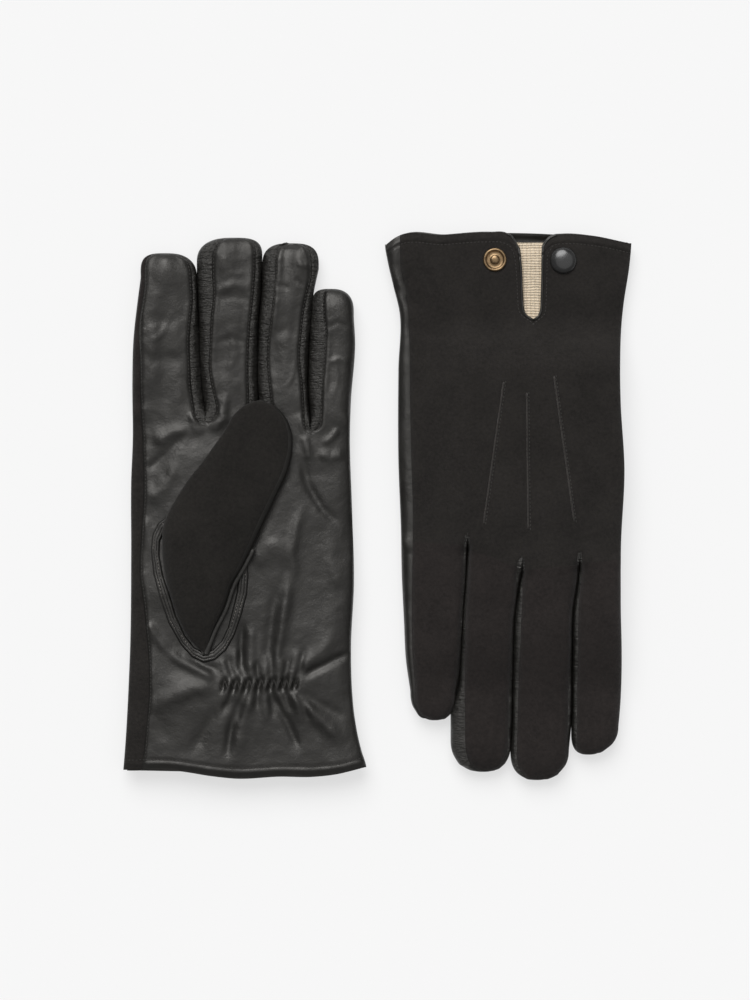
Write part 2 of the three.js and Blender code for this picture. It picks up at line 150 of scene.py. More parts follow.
def ripple(x, y, size, seed):
    """Smooth random height between -1 and 1, with bumps about size across. size may be (across, along)."""
    across, along = size if isinstance(size, tuple) else (size, size)
    lattice = np.random.default_rng(seed).uniform(-1, 1, (RIPPLE_CELLS, RIPPLE_CELLS))
    u, v = np.asarray(x) / across + RIPPLE_START[0], np.asarray(y) / along + RIPPLE_START[1]
    i, j = np.floor(u).astype(int), np.floor(v).astype(int)
    s, t = smoothstep(u - i, 0, 1), smoothstep(v - j, 0, 1)
    (i, after_i), (j, after_j) = ((k % RIPPLE_CELLS, (k + 1) % RIPPLE_CELLS) for k in (i, j))
    low = blend_between(lattice[i, j], lattice[after_i, j], s)
    high = blend_between(lattice[i, after_j], lattice[after_i, after_j], s)
    return blend_between(low, high, t)


def near_path(x, y, path):
    """Distance from each point to a polyline, and how far along it the nearest point is, 0 to 1."""
    points = np.array(path, float)
    lengths = np.linalg.norm(np.diff(points, axis=0), axis=1)
    before = np.concatenate([[0], np.cumsum(lengths)])
    best, place = np.full(np.shape(x), 1e9), np.zeros(np.shape(x))
    for k in range(len(points) - 1):
        (ax, ay), (bx, by) = points[k], points[k + 1]
        t = np.clip(((x - ax) * (bx - ax) + (y - ay) * (by - ay)) / lengths[k] ** 2, 0, 1)
        distance = np.hypot(x - ax - t * (bx - ax), y - ay - t * (by - ay))
        closer = distance < best
        best = np.where(closer, distance, best)
        place = np.where(closer, (before[k] + t * lengths[k]) / before[-1], place)
    return best, place


def strokes(x, y, marks):
    """Folds and ridges pressed into a surface: each mark is a path, its width and its height."""
    height = np.zeros(np.shape(x))
    for path, width, rise in marks:
        distance, place = near_path(x, y, path)
        fade = smoothstep(place, 0, 0.22) * (1 - smoothstep(place, 0.7, 1))
        height += rise * fade * np.exp(-(distance / width) ** 2)
    return height


# ------------------------------------------------------------------ the two gloves


# From a glove's own origin to the cuff's corner on the index side, and how far the cuff reaches past the
# origin.
INDEX_CORNER = {"left": 56.5, "right": 57.0}
CUFF_OVERHANG = 2.4
SNAP_LIFT = 3.2
THUMB_LIFT = 8.6
CUFF_HEIGHT = 11.6


class Glove:
    """Where one glove lies and how its outline, gaps and seams run. Lines are looked up by y."""

    def __init__(self, side, palm_up, **lines):
        self.side, self.palm_up = side, palm_up
        self.hand_body = f"{side}_hand"
        self.turn = 1 if palm_up else -1
        corner = 0 if palm_up else 1
        palm, back = (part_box(f"{side}_{name}")[corner] for name in ("palm_leather", "back_suede"))
        self.origin = np.array([back[0] / MM + self.turn * INDEX_CORNER[side],
                                palm[1] / MM + self.turn * CUFF_OVERHANG])
        for name, value in lines.items():
            setattr(self, name, value)

    def place(self, points):
        """Points of the glove's own frame, in millimetres, as points of the scene, in metres."""
        points = np.array(points, float).reshape(-1, 3)
        points[:, :2] = self.origin + self.turn * points[:, :2]
        return points * MM

    def border(self, k, y):
        """The line between finger k - 1 and finger k, or the glove's edge where k is 0 or 4."""
        index, little = self.index_edge(y), self.little_edge(y)
        if k == 0:
            return index
        if k == 4:
            return little
        slit = self.slits[k - 1]
        index_there, little_there = self.index_edge(slit), self.little_edge(slit)
        share = (self.gaps[k - 1](slit) - index_there) / (little_there - index_there)
        in_hand = blend_between(index, little, share)
        return blend_between(in_hand, self.gaps[k - 1](y), smoothstep(y, slit - 0.01, slit))

    def lift(self, x, y):
        """How far the glove is raised off the table: by the snap under its cuff, or by its tucked thumb."""
        if self.palm_up:
            return SNAP_LIFT * (1 - smoothstep(y, 38, 62))
        beside = 1 - smoothstep(x, 16, 50)
        return THUMB_LIFT * beside * smoothstep(y, 36, 62) * (1 - smoothstep(y, 182, 214))

    def hand_height(self, y):
        """Thickness of the hand at y; the left one is fuller, with its thumb lying over it."""
        full = glove_size("hand_height")
        if self.palm_up:
            full = full * blend_between(1.14, 1.0, smoothstep(y, 100, 168))
        return blend_between(CUFF_HEIGHT, full, smoothstep(y, 30, 66))


def left_glove():
    """Palm up: nappa palm, gussets with U-shaped ends, a suede strip along the index edge."""
    return Glove(
        "left", True,
        index_edge=Line((-2.4, -56.9), (3, -56.4), (33.5, -54.4), (56.7, -53.5), (103, -53), (136, -53),
                        (154, -52.3),
                        (182, -52.5), (201, -52), (219.5, -50), (230, -48.6)),
        little_edge=Line((-2.4, 56.8), (3.7, 56.2), (9.3, 54.4), (24.2, 51.2), (38, 49.8), (56.7, 49.3),
                         (89, 50.7),
                         (122, 49.8), (159, 48.8), (173, 49.3), (201, 51.2), (211.5, 50.6)),
        gaps=[Line((168, -18.4), (177, -19.8), (187, -20.7), (210, -21.6), (232, -22.5)),
              Line((163, 6.8), (172, 6.5), (182, 5.8), (197, 6), (209, 6.3), (221, 7.4), (238, 8)),
              Line((164, 30.4), (180, 29.3), (193, 29.5), (209, 30.5), (222, 31.8), (234, 34.3))],
        slits=[168, 163, 164],
        tips={"index": (-37.5, 241.4, 11.5), "middle": (-5, 248.6, 11.5), "ring": (21.5, 246, 11),
              "little": (39.5, 224.8, 11)},
        tip_power=2.9,
        top_seams={
            "index": (Line((4.2, -47.4), (20.5, -45.9), (34.9, -44.5), (49.3, -44.5), (63.7, -45.6),
                           (78, -47),
                           (92.5, -48.8), (107, -48.4), (126.5, -47.2), (152.5, -47.6), (170, -48.5),
                           (189, -48.8),
                           (209, -49.1), (217.6, -47.9), (225.5, -46.7)),
                      Line((169.3, -23.3), (179, -24.8), (189.3, -25.3), (201.3, -25.6), (209.3, -25),
                           (219.5, -24.1),
                           (229.7, -24.6))),
            "middle": (Line((170.2, -13.3), (176.7, -14.9), (189.3, -16.9), (197.2, -16.5), (213.4, -15.7),
                            (219.5, -14.9), (231.6, -15.3)),
                       Line((172, 2), (189.3, 1.7), (201.3, 2.1), (209.3, 2.7), (217.6, 3.7),
                            (233.4, 5.0))),
            "ring": (Line((171.6, 12), (181.8, 10.9), (196, 10.2), (209.3, 11.8), (221.3, 13.2),
                          (233, 14.2)),
                     Line((166.9, 27.8), (181.8, 26.8), (190.7, 25.7), (205.5, 26.5), (213.4, 27.4),
                          (222.3, 29.1),
                          (230, 31))),
            "little": (Line((167.9, 35.2), (176.7, 35.5), (191.6, 36.7), (199.5, 37.2), (205.5, 37.4),
                            (212, 36.4)),
                       None),
        },
        cuff_top=Line((-56, 1.2), (-34, 1.3), (-14.7, -1.4), (-4.7, -2.4), (17, -1.5), (33, -1.6),
                      (44, -0.4), (56, 2.4)),
        cuff_bottom=Line((-56, 1.2), (-20, 0.4), (30, 0.2), (56, 2.4)),
    )


def right_glove():
    """Back up: suede back with three points, a nappa strip along the little-finger edge, a snap vent."""
    return Glove(
        "right", False,
        index_edge=Line((-2.4, -57.2), (4, -57), (12.6, -56.2), (31.2, -53.4), (61, -51.4), (75, -51.6),
                        (108, -53.4),
                        (143, -51.8), (168, -51.7), (216, -52), (230, -50.8)),
        little_edge=Line((-2.4, 57.6), (3.7, 57.6), (11.2, 56.3), (22.3, 53.7), (33.5, 51), (61.4, 51.4),
                         (103, 51.4),
                         (136, 50.2), (157, 49.8), (178, 48.8), (196, 47.9), (211, 45.8)),
        gaps=[Line((151.5, -32.6), (158, -32), (172, -29.9), (194, -29.3), (225, -29.2), (238, -28)),
              Line((154.7, -6), (164, -4.2), (177.6, -2.4), (194, -1.9), (230, -1.4), (242, -0.4)),
              Line((143, 19.3), (158, 20.1), (176, 21.5), (194, 22.4), (207, 23.4), (221, 27.1))],
        slits=[151.5, 154.7, 143],
        tips={"index": (-37, 240.4, 13), "middle": (-13, 252.2, 14), "ring": (12, 248.4, 15),
              "little": (34.5, 224.4, 13)},
        tip_power=2.35,
        top_seams={
            "index": (None, Line((158, -33.4), (172, -32), (194, -31.8), (230, -31.6))),
            "middle": (Line((158, -31.2), (194, -28.3), (238, -27)),
                       Line((164, -6), (194, -4.8), (240, -3.6))),
            "ring": (Line((164, -3.2), (194, -0.9), (236, 0.6)),
                     Line((158, 19.2), (176, 20.2), (194, 20.6), (207, 20.7), (232, 20.4))),
            "little": (Line((158, 21.2), (176, 22.6), (194, 23.5), (211, 25)),
                       Line((4, 50.7), (15, 50.2), (24, 47.9), (33.5, 47), (47.4, 46.3), (75, 46),
                            (103, 45.4),
                            (122, 44.8), (143, 44.8), (167, 45.2), (194, 44.8), (207, 43.8))),
        },
        cuff_top=Line((-56, 2.4), (-40, -0.6), (-25.4, -1.5), (-21, -1.0), (-19, 0.0), (-17.4, 1.6),
                      (-16.2, 3.4),
                      (-3.5, 3.4), (-2.4, 1.3), (-1, -0.7), (1.2, -1.9), (8.8, -2.4), (30, -1.2), (54, 0.6),
                      (57, 3)),
        cuff_bottom=Line((-56, 2.4), (-20, -1.6), (0, -2.2), (20, -1.8), (57, 3)),
    )


# ------------------------------------------------------------------ a glove's skin as rows and columns

# Each finger's width is a web, a lobe and a web; four such widths make the hand.
WEB_STEPS = 6
LOBE_STEPS = 26
COLUMN_STEPS = 2 * WEB_STEPS + LOBE_STEPS
HAND_COLUMNS = 4 * COLUMN_STEPS
HAND_ROWS = 165
HEM = (0, 0.25, 0.7, 1.4, 2.4, 3.3, 3.9, 4.5)
HEM_ROWS = len(HEM) - 1
FINGER_ROWS = 96

# The U at a crotch: how deep it is, and how wide the webs are at its end and further down the hand.
U_END = 6.0
HAIR = 0.5
HAND_WEB = 2.6
GUSSET_WIDTH = 3.4
EDGE_WIDTH = 4.2
LEAST_WIDTH = 0.9
TABLE_GAP = 0.35
OUTER_SEAM = 1.15

# The snap vent in the back: its two edges by y, the top of the line that the flap folds along, and the
# flap's direction from that line.
VENT_TOP = 38.0
VENT_APEX_X = -11.3
FLAP_EDGE = Line((-2, -16.8), (10, -15.8), (20, -15.6), (29, -15.3), (33, -15.1), (35, -14.7),
                 (36.3, -14.1), (37.2, -13.2),
                 (37.9, -12.2), (38.4, -11.3))
STUD_EDGE = Line((-2, -2.8), (2, -3.1), (10, -4.6), (18, -5.4), (28, -5.9), (33, -6.3), (35, -6.9),
                 (36.3, -7.8), (37.2, -9.0),
                 (37.9, -10.3), (38.4, -11.2))
FOLD_TO = (-13.0, 38.0)
FLAP_WAY = (0.735, -0.678)


def has_seam(glove, finger, place, top):
    """True where a seam runs along this side of a lobe; place is 0 for the left and 1 for the right."""
    gap = FINGERS.index(finger) - 1 + place
    if 0 <= gap <= 2:
        return True
    # The panel that wraps an outer edge has its seam on the other face only.
    on_top = glove.top_seams[finger][place] is not None
    return on_top == top


def column_edges(glove, finger, y, top):
    """The four lines of one finger's width at y: its left border, its two seams and its right border."""
    k = FINGERS.index(finger)
    left, right = glove.border(k, y), glove.border(k + 1, y)
    seams = glove.top_seams[finger] if top else (None, None)
    lines = []
    for place, (border, sign) in enumerate(((left, 1), (right, -1))):
        gap = k - 1 + place
        outer = gap < 0 or gap > 2
        width = EDGE_WIDTH if outer else GUSSET_WIDTH
        if seams[place] is not None:
            width = np.maximum(LEAST_WIDTH, sign * (seams[place](y) - border))
        if not outer:
            slit = glove.slits[gap]
            past = np.clip((y - slit + U_END) / U_END, 0, 1)
            hair = blend_between(HAND_WEB, HAIR, smoothstep(y, slit - 34, slit - U_END - 4))
            width = hair + (width - hair) * np.sqrt(1 - (1 - past) ** 2)
        lines.append(border + sign * width)
    return left, lines[0], lines[1], right


def column_x(edges, column):
    """Where one of the columns runs between the four lines; they crowd towards the two borders."""
    left, seam_left, seam_right, right = edges
    if column < WEB_STEPS:
        return left + (seam_left - left) * (column / WEB_STEPS) ** 2
    if column > WEB_STEPS + LOBE_STEPS:
        return right + (seam_right - right) * ((COLUMN_STEPS - column) / WEB_STEPS) ** 2
    return seam_left + (seam_right - seam_left) * ((column - WEB_STEPS) / LOBE_STEPS)


def crown(share, power):
    """Height of a rounded section, 1 in the middle and 0 at the edges; a higher power is flatter on top."""
    return np.clip(1 - np.abs(share) ** power, 0, 1) ** (1 / power)


def surface_height(glove, finger, x, y, edges, top, squeeze=1.0):
    """Height of the top or the underside: a flat pillow over the hand that divides into four fingers."""
    k = FINGERS.index(finger)
    index, little = glove.border(0, y), glove.border(4, y)
    hand_share = (x - (index + little) / 2) / ((little - index) / 2)
    left, right = edges[0], edges[3]
    finger_share = (x - (left + right) / 2) / np.maximum((right - left) / 2, 1e-6)
    near_left = glove.slits[max(k - 1, 0)]
    near_right = glove.slits[min(k, 2)]
    slit = blend_between(near_left, near_right, (finger_share + 1) / 2)
    parting = smoothstep(y, slit - 6.5, slit + 3.5)
    height = glove_size("finger_height")
    hand = glove.hand_height(y) / 2 * crown(hand_share, 3.4)
    power = blend_between(9.0, 2.6, parting)
    single = height / 2 * squeeze * crown(finger_share, power)
    rise = blend_between(hand, single, parting)
    middle = glove.lift(x, y) + blend_between(glove.hand_height(y), height, parting) / 2
    return middle + (rise if top else -rise)


class Skin:
    """Grids of the whole glove, one for the hand and one for each finger, each a ring of columns by rows.

    A ring starts at the left edge, runs over the top to the right edge and comes back underneath.
    """

    def __init__(self, glove, relief_top, relief_bottom):
        self.glove = glove
        self.relief = {True: relief_top, False: relief_bottom}
        self.vent_columns = (0, 0)
        self.hand = self._hand()
        self.fingers = {finger: self._finger(finger) for finger in FINGERS}

    def _cut(self, finger, share):
        """Where the hand ends and a finger begins, along y."""
        k, slits = FINGERS.index(finger), self.glove.slits
        left = slits[k - 1] if k > 0 else slits[0] - 2
        right = slits[k] if k < 3 else slits[2] - 2
        return blend_between(left, right, share)

    def _columns(self, finger, y_of, top, rounding=None):
        """Grid (rows, columns, xyz) of one face of one finger's width, y_of giving each column's rows."""
        grid = []
        for column in range(COLUMN_STEPS + 1):
            y = y_of(column)
            edges = column_edges(self.glove, finger, y, top)
            squeeze = 1.0
            if rounding is not None:
                edges, squeeze = rounding(edges, y)
            x = column_x(edges, column)
            z = surface_height(self.glove, finger, x, y, edges, top, squeeze)
            grid.append(np.stack([x, y, z], axis=1))
        return np.array(grid).transpose(1, 0, 2)

    def _seam_relief(self, x, y, fingers, top):
        """Seams drawn in, with the leather standing up beside them and creased gussets between."""
        depth = glove_size("seam_depth")
        push = np.zeros(x.shape)
        for block, finger in enumerate(fingers):
            first = block * COLUMN_STEPS
            columns = slice(first, first + COLUMN_STEPS + 1)
            bx, by = x[:, columns], y[:, columns]
            local = np.zeros(bx.shape)
            for place in (0, 1):
                gap = FINGERS.index(finger) - 1 + place
                sign = 1 if place == 0 else -1
                seam = WEB_STEPS if place == 0 else WEB_STEPS + LOBE_STEPS
                away = sign * (bx - bx[:, seam:seam + 1])
                strength = OUTER_SEAM if has_seam(self.glove, finger, place, top) else 0.0
                if 0 <= gap <= 2:
                    slit = self.glove.slits[gap]
                    strength = smoothstep(by, slit - U_END - 1, slit - U_END + 2)
                    web = smoothstep(-away, 0.2, 1.2) * smoothstep(by, slit - 3, slit + 6)
                    long, short = ripple(bx, by, (7, 1.7), 40 + gap), ripple(bx, by, (3, 1.0), 50 + gap)
                    creases = 0.30 * long + 0.22 * short
                    local += web * creases
                local -= strength * depth * np.exp(-(away / 0.75) ** 2)
                local += strength * 0.30 * depth * np.exp(-((away - 2.0) / 1.2) ** 2)
                puckers = ripple(bx + 40 * place, by, (9, 2.4), 60 + 7 * gap + block)
                local += strength * 0.16 * puckers * np.exp(-((away - 1.4) / 1.8) ** 2)
            push[:, columns] = np.where(np.abs(local) > np.abs(push[:, columns]), local, push[:, columns])
        return push

    def _finish(self, faces, fingers):
        """Joins the top and the underside into one ring and presses seams and folds into it."""
        ring = np.concatenate([faces[True], faces[False][:, ::-1][:, 1:-1]], axis=1)
        flatness = np.abs(ring_normals(ring)[..., 2])
        tops = faces[True].shape[1]
        for top in (True, False):
            face = faces[top]
            push = self.relief[top](face[..., 0], face[..., 1])
            push = push + self._seam_relief(face[..., 0], face[..., 1], fingers, top)
            if len(fingers) > 1:
                push = push + hem_relief(face[..., 1] - face[:1, :, 1])
            columns = slice(0, tops) if top else slice(tops, None)
            if not top:
                push = -push[:, ::-1][:, 1:-1]
            ring[:, columns, 2] += push * smoothstep(flatness[:, columns], 0.08, 0.6)
        ring[..., 2] = np.maximum(ring[..., 2], TABLE_GAP)
        return ring

    def _open_vent(self, grid):
        """Draws the two columns either side of the vent apart to its edges, and their neighbours too."""
        row = int(np.argmin(np.abs(grid[:, HAND_COLUMNS // 3, 1] - VENT_TOP)))
        b = int(np.searchsorted(grid[row, :, 0], VENT_APEX_X - 0.1))
        a = b - 1
        self.vent_columns = (a, b)
        bell = np.exp(-np.linspace(-2.4, 2.4, 31) ** 2)
        bell /= bell.sum()
        halves = ((a, FLAP_EDGE, slice(0, b), 16), (b, STUD_EDGE, slice(b, None), 34))
        for column, edge, columns, reach in halves:
            at, y = grid[:, column, 0].copy(), grid[:, column, 1]
            near = (edge(y) - at) * (1 - smoothstep(y, VENT_TOP, VENT_TOP + 14))
            far = np.convolve(np.pad(near, len(bell) // 2, mode="edge"), bell, mode="valid")
            away = np.abs(grid[:, columns, 0] - at[:, None])
            shift = blend_between(near[:, None], far[:, None], smoothstep(away, 0, 4.5))
            grid[:, columns, 0] += shift * (1 - smoothstep(away, 0, reach))
        return grid

    def _hand(self):
        glove = self.glove
        faces = {}
        for top in (True, False):
            cuff = glove.cuff_top if top else glove.cuff_bottom
            vented = top != glove.palm_up
            parts = []
            for k, finger in enumerate(FINGERS):

                def rows(column, finger=finger, k=k, cuff=cuff):
                    edges = column_edges(glove, finger, np.zeros(1), True)
                    start = float(cuff(column_x(edges, column))[0])
                    end = self._cut(finger, column / COLUMN_STEPS)
                    hem = start + np.array(HEM)
                    return np.concatenate([hem[:HEM_ROWS],
                                           np.linspace(hem[HEM_ROWS], end, HAND_ROWS + 1 - HEM_ROWS)])

                grid = self._columns(finger, rows, top)
                parts.append(grid if k == 0 else grid[:, 1:])
            faces[top] = np.concatenate(parts, axis=1)
            if vented:
                faces[top] = self._open_vent(faces[top])
                # The cuff's edge is drawn again at the columns' new places.
                edge = cuff(faces[top][0, :, 0]) - faces[top][0, :, 1]
                fade = 1 - smoothstep(faces[top][..., 1] - faces[top][:1, :, 1], 0, 22)
                faces[top][..., 1] += edge[None] * fade
        return self._finish(faces, FINGERS)

    def _finger(self, finger):
        tip_x, tip_y, radius = self.glove.tips[finger]
        round_from = tip_y - radius
        mean_cut = float(self._cut(finger, 0.5))
        straight = int(FINGER_ROWS * 0.72)
        lower = mean_cut + (round_from - mean_cut) * np.linspace(0, 1, straight, endpoint=False)
        turn = np.linspace(0, 1, FINGER_ROWS + 1 - straight)
        middle_rows = np.concatenate([lower, round_from + radius * np.sin(turn * math.pi / 2)])
        fade = 1 - smoothstep(middle_rows, mean_cut, mean_cut + 0.4 * (round_from - mean_cut))
        past = np.clip((middle_rows - round_from) / radius, 0, 1)
        power = self.glove.tip_power
        narrow = np.maximum(crown(past, power), 0.012)
        flat = np.maximum(crown(past, 2.2), 0.03)

        def rows(column):
            return middle_rows + (self._cut(finger, column / COLUMN_STEPS) - mean_cut) * fade

        def rounding(edges, y):
            held = [np.where(past > 0, np.interp(round_from, y, edge), edge) for edge in edges]
            centre = (held[0] + held[3]) / 2
            shift = (tip_x - centre[-1]) * past ** 2
            return [centre + shift + (edge - centre) * narrow for edge in held], flat

        faces = {top: self._columns(finger, rows, top, rounding) for top in (True, False)}
        if not self.glove.palm_up:
            # The back is gathered round the fingertips.
            gathered = smoothstep(past, 0.25, 0.9) * (1 - smoothstep(past, 0.93, 1))
            for face in faces.values():
                x, level = face[..., 0], np.zeros(face.shape[:2])
                pleats = ripple(x, level, (3.0, 1), 31) + 0.6 * ripple(x, level, (1.7, 1), 32)
                face[..., 1] += 0.5 * pleats * gathered[:, None]
        return self._finish(faces, (finger,))

    def face(self, top, part="hand"):
        """The top or the underside of the hand or of a finger, columns from left to right."""
        ring = self.hand if part == "hand" else self.fingers[part]
        half = ring.shape[1] // 2
        if top:
            return ring[:, :half + 1]
        return np.concatenate([ring[:, :1], ring[:, half:][:, ::-1]], axis=1)

    def height(self, x, y, top=True, part="hand"):
        """Height of the finished surface at points of the plan."""
        face = self.face(top, part).reshape(-1, 3)
        x, y = np.atleast_1d(np.asarray(x, float)), np.atleast_1d(np.asarray(y, float))
        out = np.empty(x.shape)
        for i in range(len(x)):
            near = (face[:, 0] - x[i]) ** 2 + (face[:, 1] - y[i]) ** 2
            pick = np.argpartition(near, 4)[:4]
            weight = 1 / (near[pick] + 0.02)
            out[i] = np.sum(face[pick, 2] * weight) / weight.sum()
        return out


def hem_relief(depth):
    """The turned-in hem: a rounded edge, a band that stands up a little and its stitches' groove."""
    edge = -1.5 * (1 - smoothstep(depth, -0.3, 3.6))
    band = 0.12 * (1 - smoothstep(depth, 3.2, 4.3))
    return edge + band - 0.40 * np.exp(-((depth - 4.2) / 0.6) ** 2)


def ring_normals(ring):
    """Outward normals of a closed ring grid (rows, columns, xyz)."""
    along = np.gradient(ring, axis=0)
    around = np.roll(ring, -1, axis=1) - np.roll(ring, 1, axis=1)
    normal = np.cross(around, along)
    length = np.linalg.norm(normal, axis=2, keepdims=True)
    return normal / np.maximum(length, 1e-9)


def take_columns(ring, first, last):
    """The columns first to last of a ring, counted round it."""
    return ring[:, np.arange(first, last + 1) % ring.shape[1]]


# ------------------------------------------------------------------ meshes


SHARP_DEGREES = 50


def new_object(name, points, faces, material=None):
    """A linked object made from points in metres."""
    mesh = bpy.data.meshes.new(name)
    mesh.from_pydata([tuple(p) for p in points], [], faces)
    mesh.validate()
    made = bpy.data.objects.new(name, mesh)
    bpy.context.scene.collection.objects.link(made)
    if material is not None:
        mesh.materials.append(material)
    return made


def grid_faces(rows, columns, wrap=False):
    """Squares between the points of a grid, row by row; wrap joins the last column to the first."""
    faces = []
    for i in range(rows - 1):
        here, ahead = i * columns, (i + 1) * columns
        for j in range(columns if wrap else columns - 1):
            n = (j + 1) % columns
            faces.append((here + j, here + n, ahead + n, ahead + j))
    return faces


def edit_mesh(made, change):
    """Runs change on an object's mesh, opened for editing."""
    edit = bmesh.new()
    edit.from_mesh(made.data)
    change(edit)
    edit.to_mesh(made.data)
    edit.free()
    return made


def plain_mesh(made):
    """Bakes an object's modifiers into its mesh."""
    graph = bpy.context.evaluated_depsgraph_get()
    graph.update()
    baked = bpy.data.meshes.new_from_object(made.evaluated_get(graph))
    old = made.data
    made.modifiers.clear()
    baked.name = old.name
    made.data = baked
    bpy.data.meshes.remove(old)
    return made


def clean(made, merge=1e-6):
    """Drops loose points, joins points that coincide and dissolves faces without area."""

    def change(edit):
        loose = [v for v in edit.verts if not v.link_faces]
        bmesh.ops.delete(edit, geom=loose, context="VERTS")
        bmesh.ops.remove_doubles(edit, verts=edit.verts, dist=merge)
        bmesh.ops.dissolve_degenerate(edit, edges=edit.edges, dist=merge)

    return edit_mesh(made, change)


def thicken(made, thickness):
    """Gives a sheet its thickness on the inside."""
    solid = made.modifiers.new("Thickness", "SOLIDIFY")
    solid.thickness = thickness * MM
    solid.offset = -1.0
    solid.use_even_offset = False
    return plain_mesh(made)


def skin_piece(name, glove, grid, material, thickness=None, keep=None):
    """One piece of leather from part of a ring grid, with its thickness on the inside.

    keep, if given, holds True for each square of the grid that belongs to the piece.
    """
    faces = grid_faces(*grid.shape[:2])
    if keep is not None:
        faces = [face for face, wanted in zip(faces, keep.reshape(-1)) if wanted]
    made = clean(new_object(name, glove.place(grid), faces, material))
    thicken(made, glove_size("skin") if thickness is None else thickness)
    made.data.shade_smooth()
    made.data.set_sharp_from_angle(angle=math.radians(SHARP_DEGREES))
    return made


def sweep(name, glove, path, radius, material, sides=10, flat=1.0, closed=False):
    """A round or flattened cord along a path of the glove's own points, with closed ends."""
    path = np.array(path, float)
    ahead = np.roll(path, -1, axis=0) - np.roll(path, 1, axis=0) if closed else np.gradient(path, axis=0)
    ahead /= np.maximum(np.linalg.norm(ahead, axis=1, keepdims=True), 1e-9)
    up = np.array([0, 0, 1.0])
    side = np.cross(ahead, up)
    side /= np.maximum(np.linalg.norm(side, axis=1, keepdims=True), 1e-9)
    over = np.cross(side, ahead)
    angles = np.arange(sides) * 2 * math.pi / sides
    rings = (path[:, None] + radius * (np.cos(angles)[None, :, None] * side[:, None]
                                       + flat * np.sin(angles)[None, :, None] * over[:, None]))
    count = len(path)
    faces = grid_faces(count, sides, wrap=True)
    if closed:
        last = (count - 1) * sides
        faces += [(last + j, last + (j + 1) % sides, (j + 1) % sides, j) for j in range(sides)]
    else:
        faces += [tuple(range(sides - 1, -1, -1)), tuple(range((count - 1) * sides, count * sides))]
    return outward(new_object(name, glove.place(rings), faces, material))


def outward(made):
    """Turns every face of a closed mesh outwards and shades it smooth."""
    edit_mesh(made, lambda edit: bmesh.ops.recalc_face_normals(edit, faces=edit.faces))
    made.data.shade_smooth()
    return made


def turned(name, glove, profile, centre, base, up, material):
    """A turned fitting: profile points are (radius, height) from the face it sits on."""
    sides = 56
    angles = np.arange(sides) * 2 * math.pi / sides
    points = [(centre[0] + r * math.cos(a), centre[1] + r * math.sin(a), base + up * h)
              for r, h in profile for a in angles]
    made = new_object(name, glove.place(points), grid_faces(len(profile), sides, wrap=True), material)
    return outward(clean(made, 1e-7))


# ------------------------------------------------------------------ materials


def node_material(name):
    """A new material, its node tree and its shader."""
    material = bpy.data.materials.new(name)
    material.use_nodes = True
    tree = material.node_tree
    shader = next(n for n in tree.nodes if n.type == "BSDF_PRINCIPLED")
    return material, tree, shader


def wire(tree, node, inputs):
    """Fills a node's inputs: each is a value, or the output that it is linked to."""
    for name, value in inputs.items():
        if isinstance(value, bpy.types.NodeSocket):
            tree.links.new(value, node.inputs[name])
        else:
            node.inputs[name].default_value = value
    return node


def object_place(tree):
    """The coordinates that every texture is laid out in."""
    return tree.nodes.new("ShaderNodeTexCoord").outputs["Object"]


def stretched(tree, place, scale):
    """The same coordinates, scaled along each axis."""
    made = wire(tree, tree.nodes.new("ShaderNodeMapping"), {"Scale": scale, "Vector": place})
    return made.outputs["Vector"]


def noise_texture(tree, place, scale, detail=4.0, roughness=0.55):
    """Cloudy noise; scale is in features per metre."""
    made = tree.nodes.new("ShaderNodeTexNoise")
    wire(tree, made, {"Scale": scale, "Detail": detail, "Roughness": roughness, "Vector": place})
    return made.outputs["Fac"]


def scaled(colour, factor):
    """A colour made lighter or darker."""
    return tuple(min(1.0, c * factor) for c in colour)


def ramp(tree, source, colour, low, high, low_at=0.0, high_at=1.0):
    """One colour, darkened to low and lightened to high times itself by a texture."""
    made = wire(tree, tree.nodes.new("ShaderNodeValToRGB"), {"Fac": source})
    for k, (factor, position) in enumerate(((low, low_at), (high, high_at))):
        made.color_ramp.elements[k].position = position
        made.color_ramp.elements[k].color = (*scaled(colour, factor), 1)
    return made.outputs["Color"]


def bump(tree, source, strength, distance, normal=None):
    """Raises a texture by up to distance, in metres, on top of another bump if one is given."""
    made = wire(tree, tree.nodes.new("ShaderNodeBump"),
                {"Strength": strength, "Distance": distance, "Height": source})
    if normal is not None:
        wire(tree, made, {"Normal": normal})
    return made.outputs["Normal"]


def map_range(tree, source, low, high):
    """Spreads the middle of a texture's values from low to high."""
    made = tree.nodes.new("ShaderNodeMapRange")
    wire(tree, made, {"From Min": 0.3, "From Max": 0.7, "To Min": low, "To Max": high, "Value": source})
    return made.outputs["Result"]


